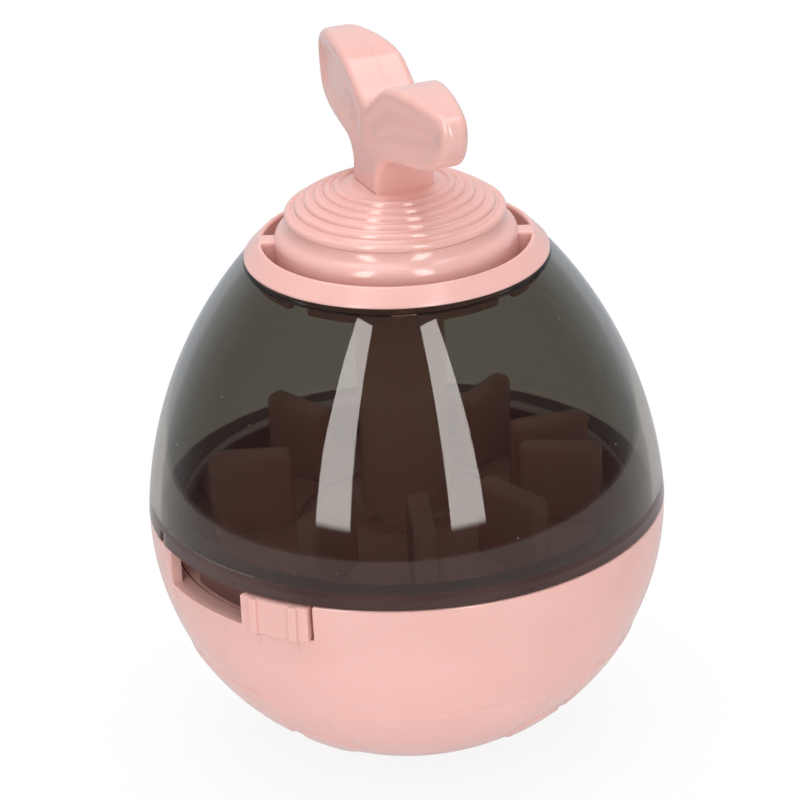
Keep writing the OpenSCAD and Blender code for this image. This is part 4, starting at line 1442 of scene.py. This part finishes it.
def make_world():
    """White to the camera and through the dome; a dim room in reflections; even light on the object."""
    world = bpy.data.worlds.new("studio")
    bpy.context.scene.world = world
    world.use_nodes = True
    graph = Graph(world.node_tree)
    path = graph.add("ShaderNodeLightPath")
    direction = graph.split(graph.add("ShaderNodeTexCoord").outputs["Generated"])
    behind = graph.ramp(direction[1], *BEHIND)
    room = graph.mix(behind, opaque(ROOM_FRONT), opaque(ROOM_BACK))
    room_light = graph.add("ShaderNodeBackground", {"Color": room, "Strength": 1.0})
    even = graph.add("ShaderNodeBackground", {"Color": opaque(DAYLIGHT), "Strength": AMBIENT})
    white = graph.add("ShaderNodeBackground", {"Color": opaque(WHITE), "Strength": 1.0})
    direct = graph.math("LESS_THAN", path.outputs["Glossy Depth"], 0.5)
    through = graph.times(path.outputs["Is Transmission Ray"], direct)
    seen = graph.math("MAXIMUM", path.outputs["Is Camera Ray"], through)
    mirrored = graph.math("MAXIMUM", path.outputs["Is Glossy Ray"], path.outputs["Is Transmission Ray"])
    lit = graph.add("ShaderNodeMixShader", {0: mirrored, 1: even, 2: room_light})
    final = graph.add("ShaderNodeMixShader", {0: seen, 1: lit, 2: white})
    graph.feed(graph.nodes["World Output"].inputs["Surface"], final)


def make_lamp(name, place, target, size, power, fade):
    """Soft box that the camera doesn't see; with a fade it is dark at its lower end, in its gloss too."""
    data = bpy.data.lights.new(name, "AREA")
    data.shape = "RECTANGLE"
    data.size, data.size_y = size
    data.energy = power
    data.use_nodes = True
    graph = Graph(data.node_tree)
    along = graph.split(graph.add("ShaderNodeNewGeometry").outputs["Parametric"])[1]
    glow = graph.ramp(along, FADE_START * fade, fade) if fade else 1.0
    graph.feed(graph.nodes["Emission"].inputs["Strength"], glow)
    lamp = new_object(name, data)
    lamp.location = place
    lamp.rotation_euler = (Vector(target) - Vector(place)).to_track_quat("-Z", "Y").to_euler()
    lamp.visible_camera = False
    lamp.visible_transmission = False
    return lamp


def make_lamps():
    """Two tall strips in front that show in gloss, a wide soft fill at each, and a box overhead."""
    for name, turn in (("left_strip", STRIP_TURNS[0]), ("right_strip", STRIP_TURNS[1])):
        direction = Vector((math.cos(math.radians(turn)), math.sin(math.radians(turn)), 0))
        place = direction * STRIP_DISTANCE + Vector((0, 0, STRIP_H / 2))
        middle = (0, 0, STRIP_H / 2)
        strip = make_lamp(name, place, middle, (STRIP_W, STRIP_H), STRIP_POWER, STRIP_FADE)
        strip.visible_diffuse = False
        strip.data.color = STRIP_COLOR
        fill = make_lamp(name.replace("strip", "fill"), place, middle, (FILL_W, STRIP_H), FILL_POWER, 0)
        fill.visible_glossy = False
    make_lamp("overhead", TOP_PLACE, (0, 0, 0), TOP_SIZE, TOP_POWER, 0)


def make_camera():
    """The photograph's camera: in front, 26 degrees up, a little rolled and shifted."""
    data = bpy.data.cameras.new("camera")
    camera = new_object("camera", data)
    rise = math.radians(CAMERA_RISE)
    target = Vector((0, 0, WIDE_Z * MM))
    camera.location = target + CAMERA_DISTANCE * Vector((0, -math.cos(rise), math.sin(rise)))
    look = (target - camera.location).to_track_quat("-Z", "Y").to_matrix()
    camera.rotation_euler = (look @ Matrix.Rotation(math.radians(CAMERA_ROLL), 3, "Z")).to_euler()
    data.sensor_width = SENSOR_W
    data.lens = data.sensor_width * CAMERA_FOCAL_PX / IMAGE_PX
    data.shift_x = (IMAGE_PX / 2 - TARGET_PX[0]) / IMAGE_PX
    data.shift_y = (TARGET_PX[1] - IMAGE_PX / 2) / IMAGE_PX
    data.clip_start = CLIP_START
    bpy.context.scene.camera = camera


make_camera()
make_world()
make_lamps()
make_floor()

BLOCKS = block_tree()
RIBS = rib_tree()
MOULD = mould_group()
SPECKS = speck_group()

pink_plastic = pink_material()
smoked_plastic = smoke_material()
screw_steel = metal_material("screw_steel", STEEL, 0.28, 0.1)
ballast_iron = metal_material("ballast_iron", IRON, 0.6, 0.5)

make_base_shell(pink_plastic)
make_slider(pink_plastic)
make_dome(smoked_plastic)
make_cap_ring(pink_plastic)
make_lid(pink_plastic)
sprout_half("sprout_front", -1, pink_plastic)
sprout_half("sprout_back", 1, pink_plastic)
make_maze(pink_plastic)
make_column(pink_plastic)
finish_cad_nodes(pink_plastic, screw_steel, ballast_iron)

bpy.context.scene.view_settings.view_transform = "Standard"
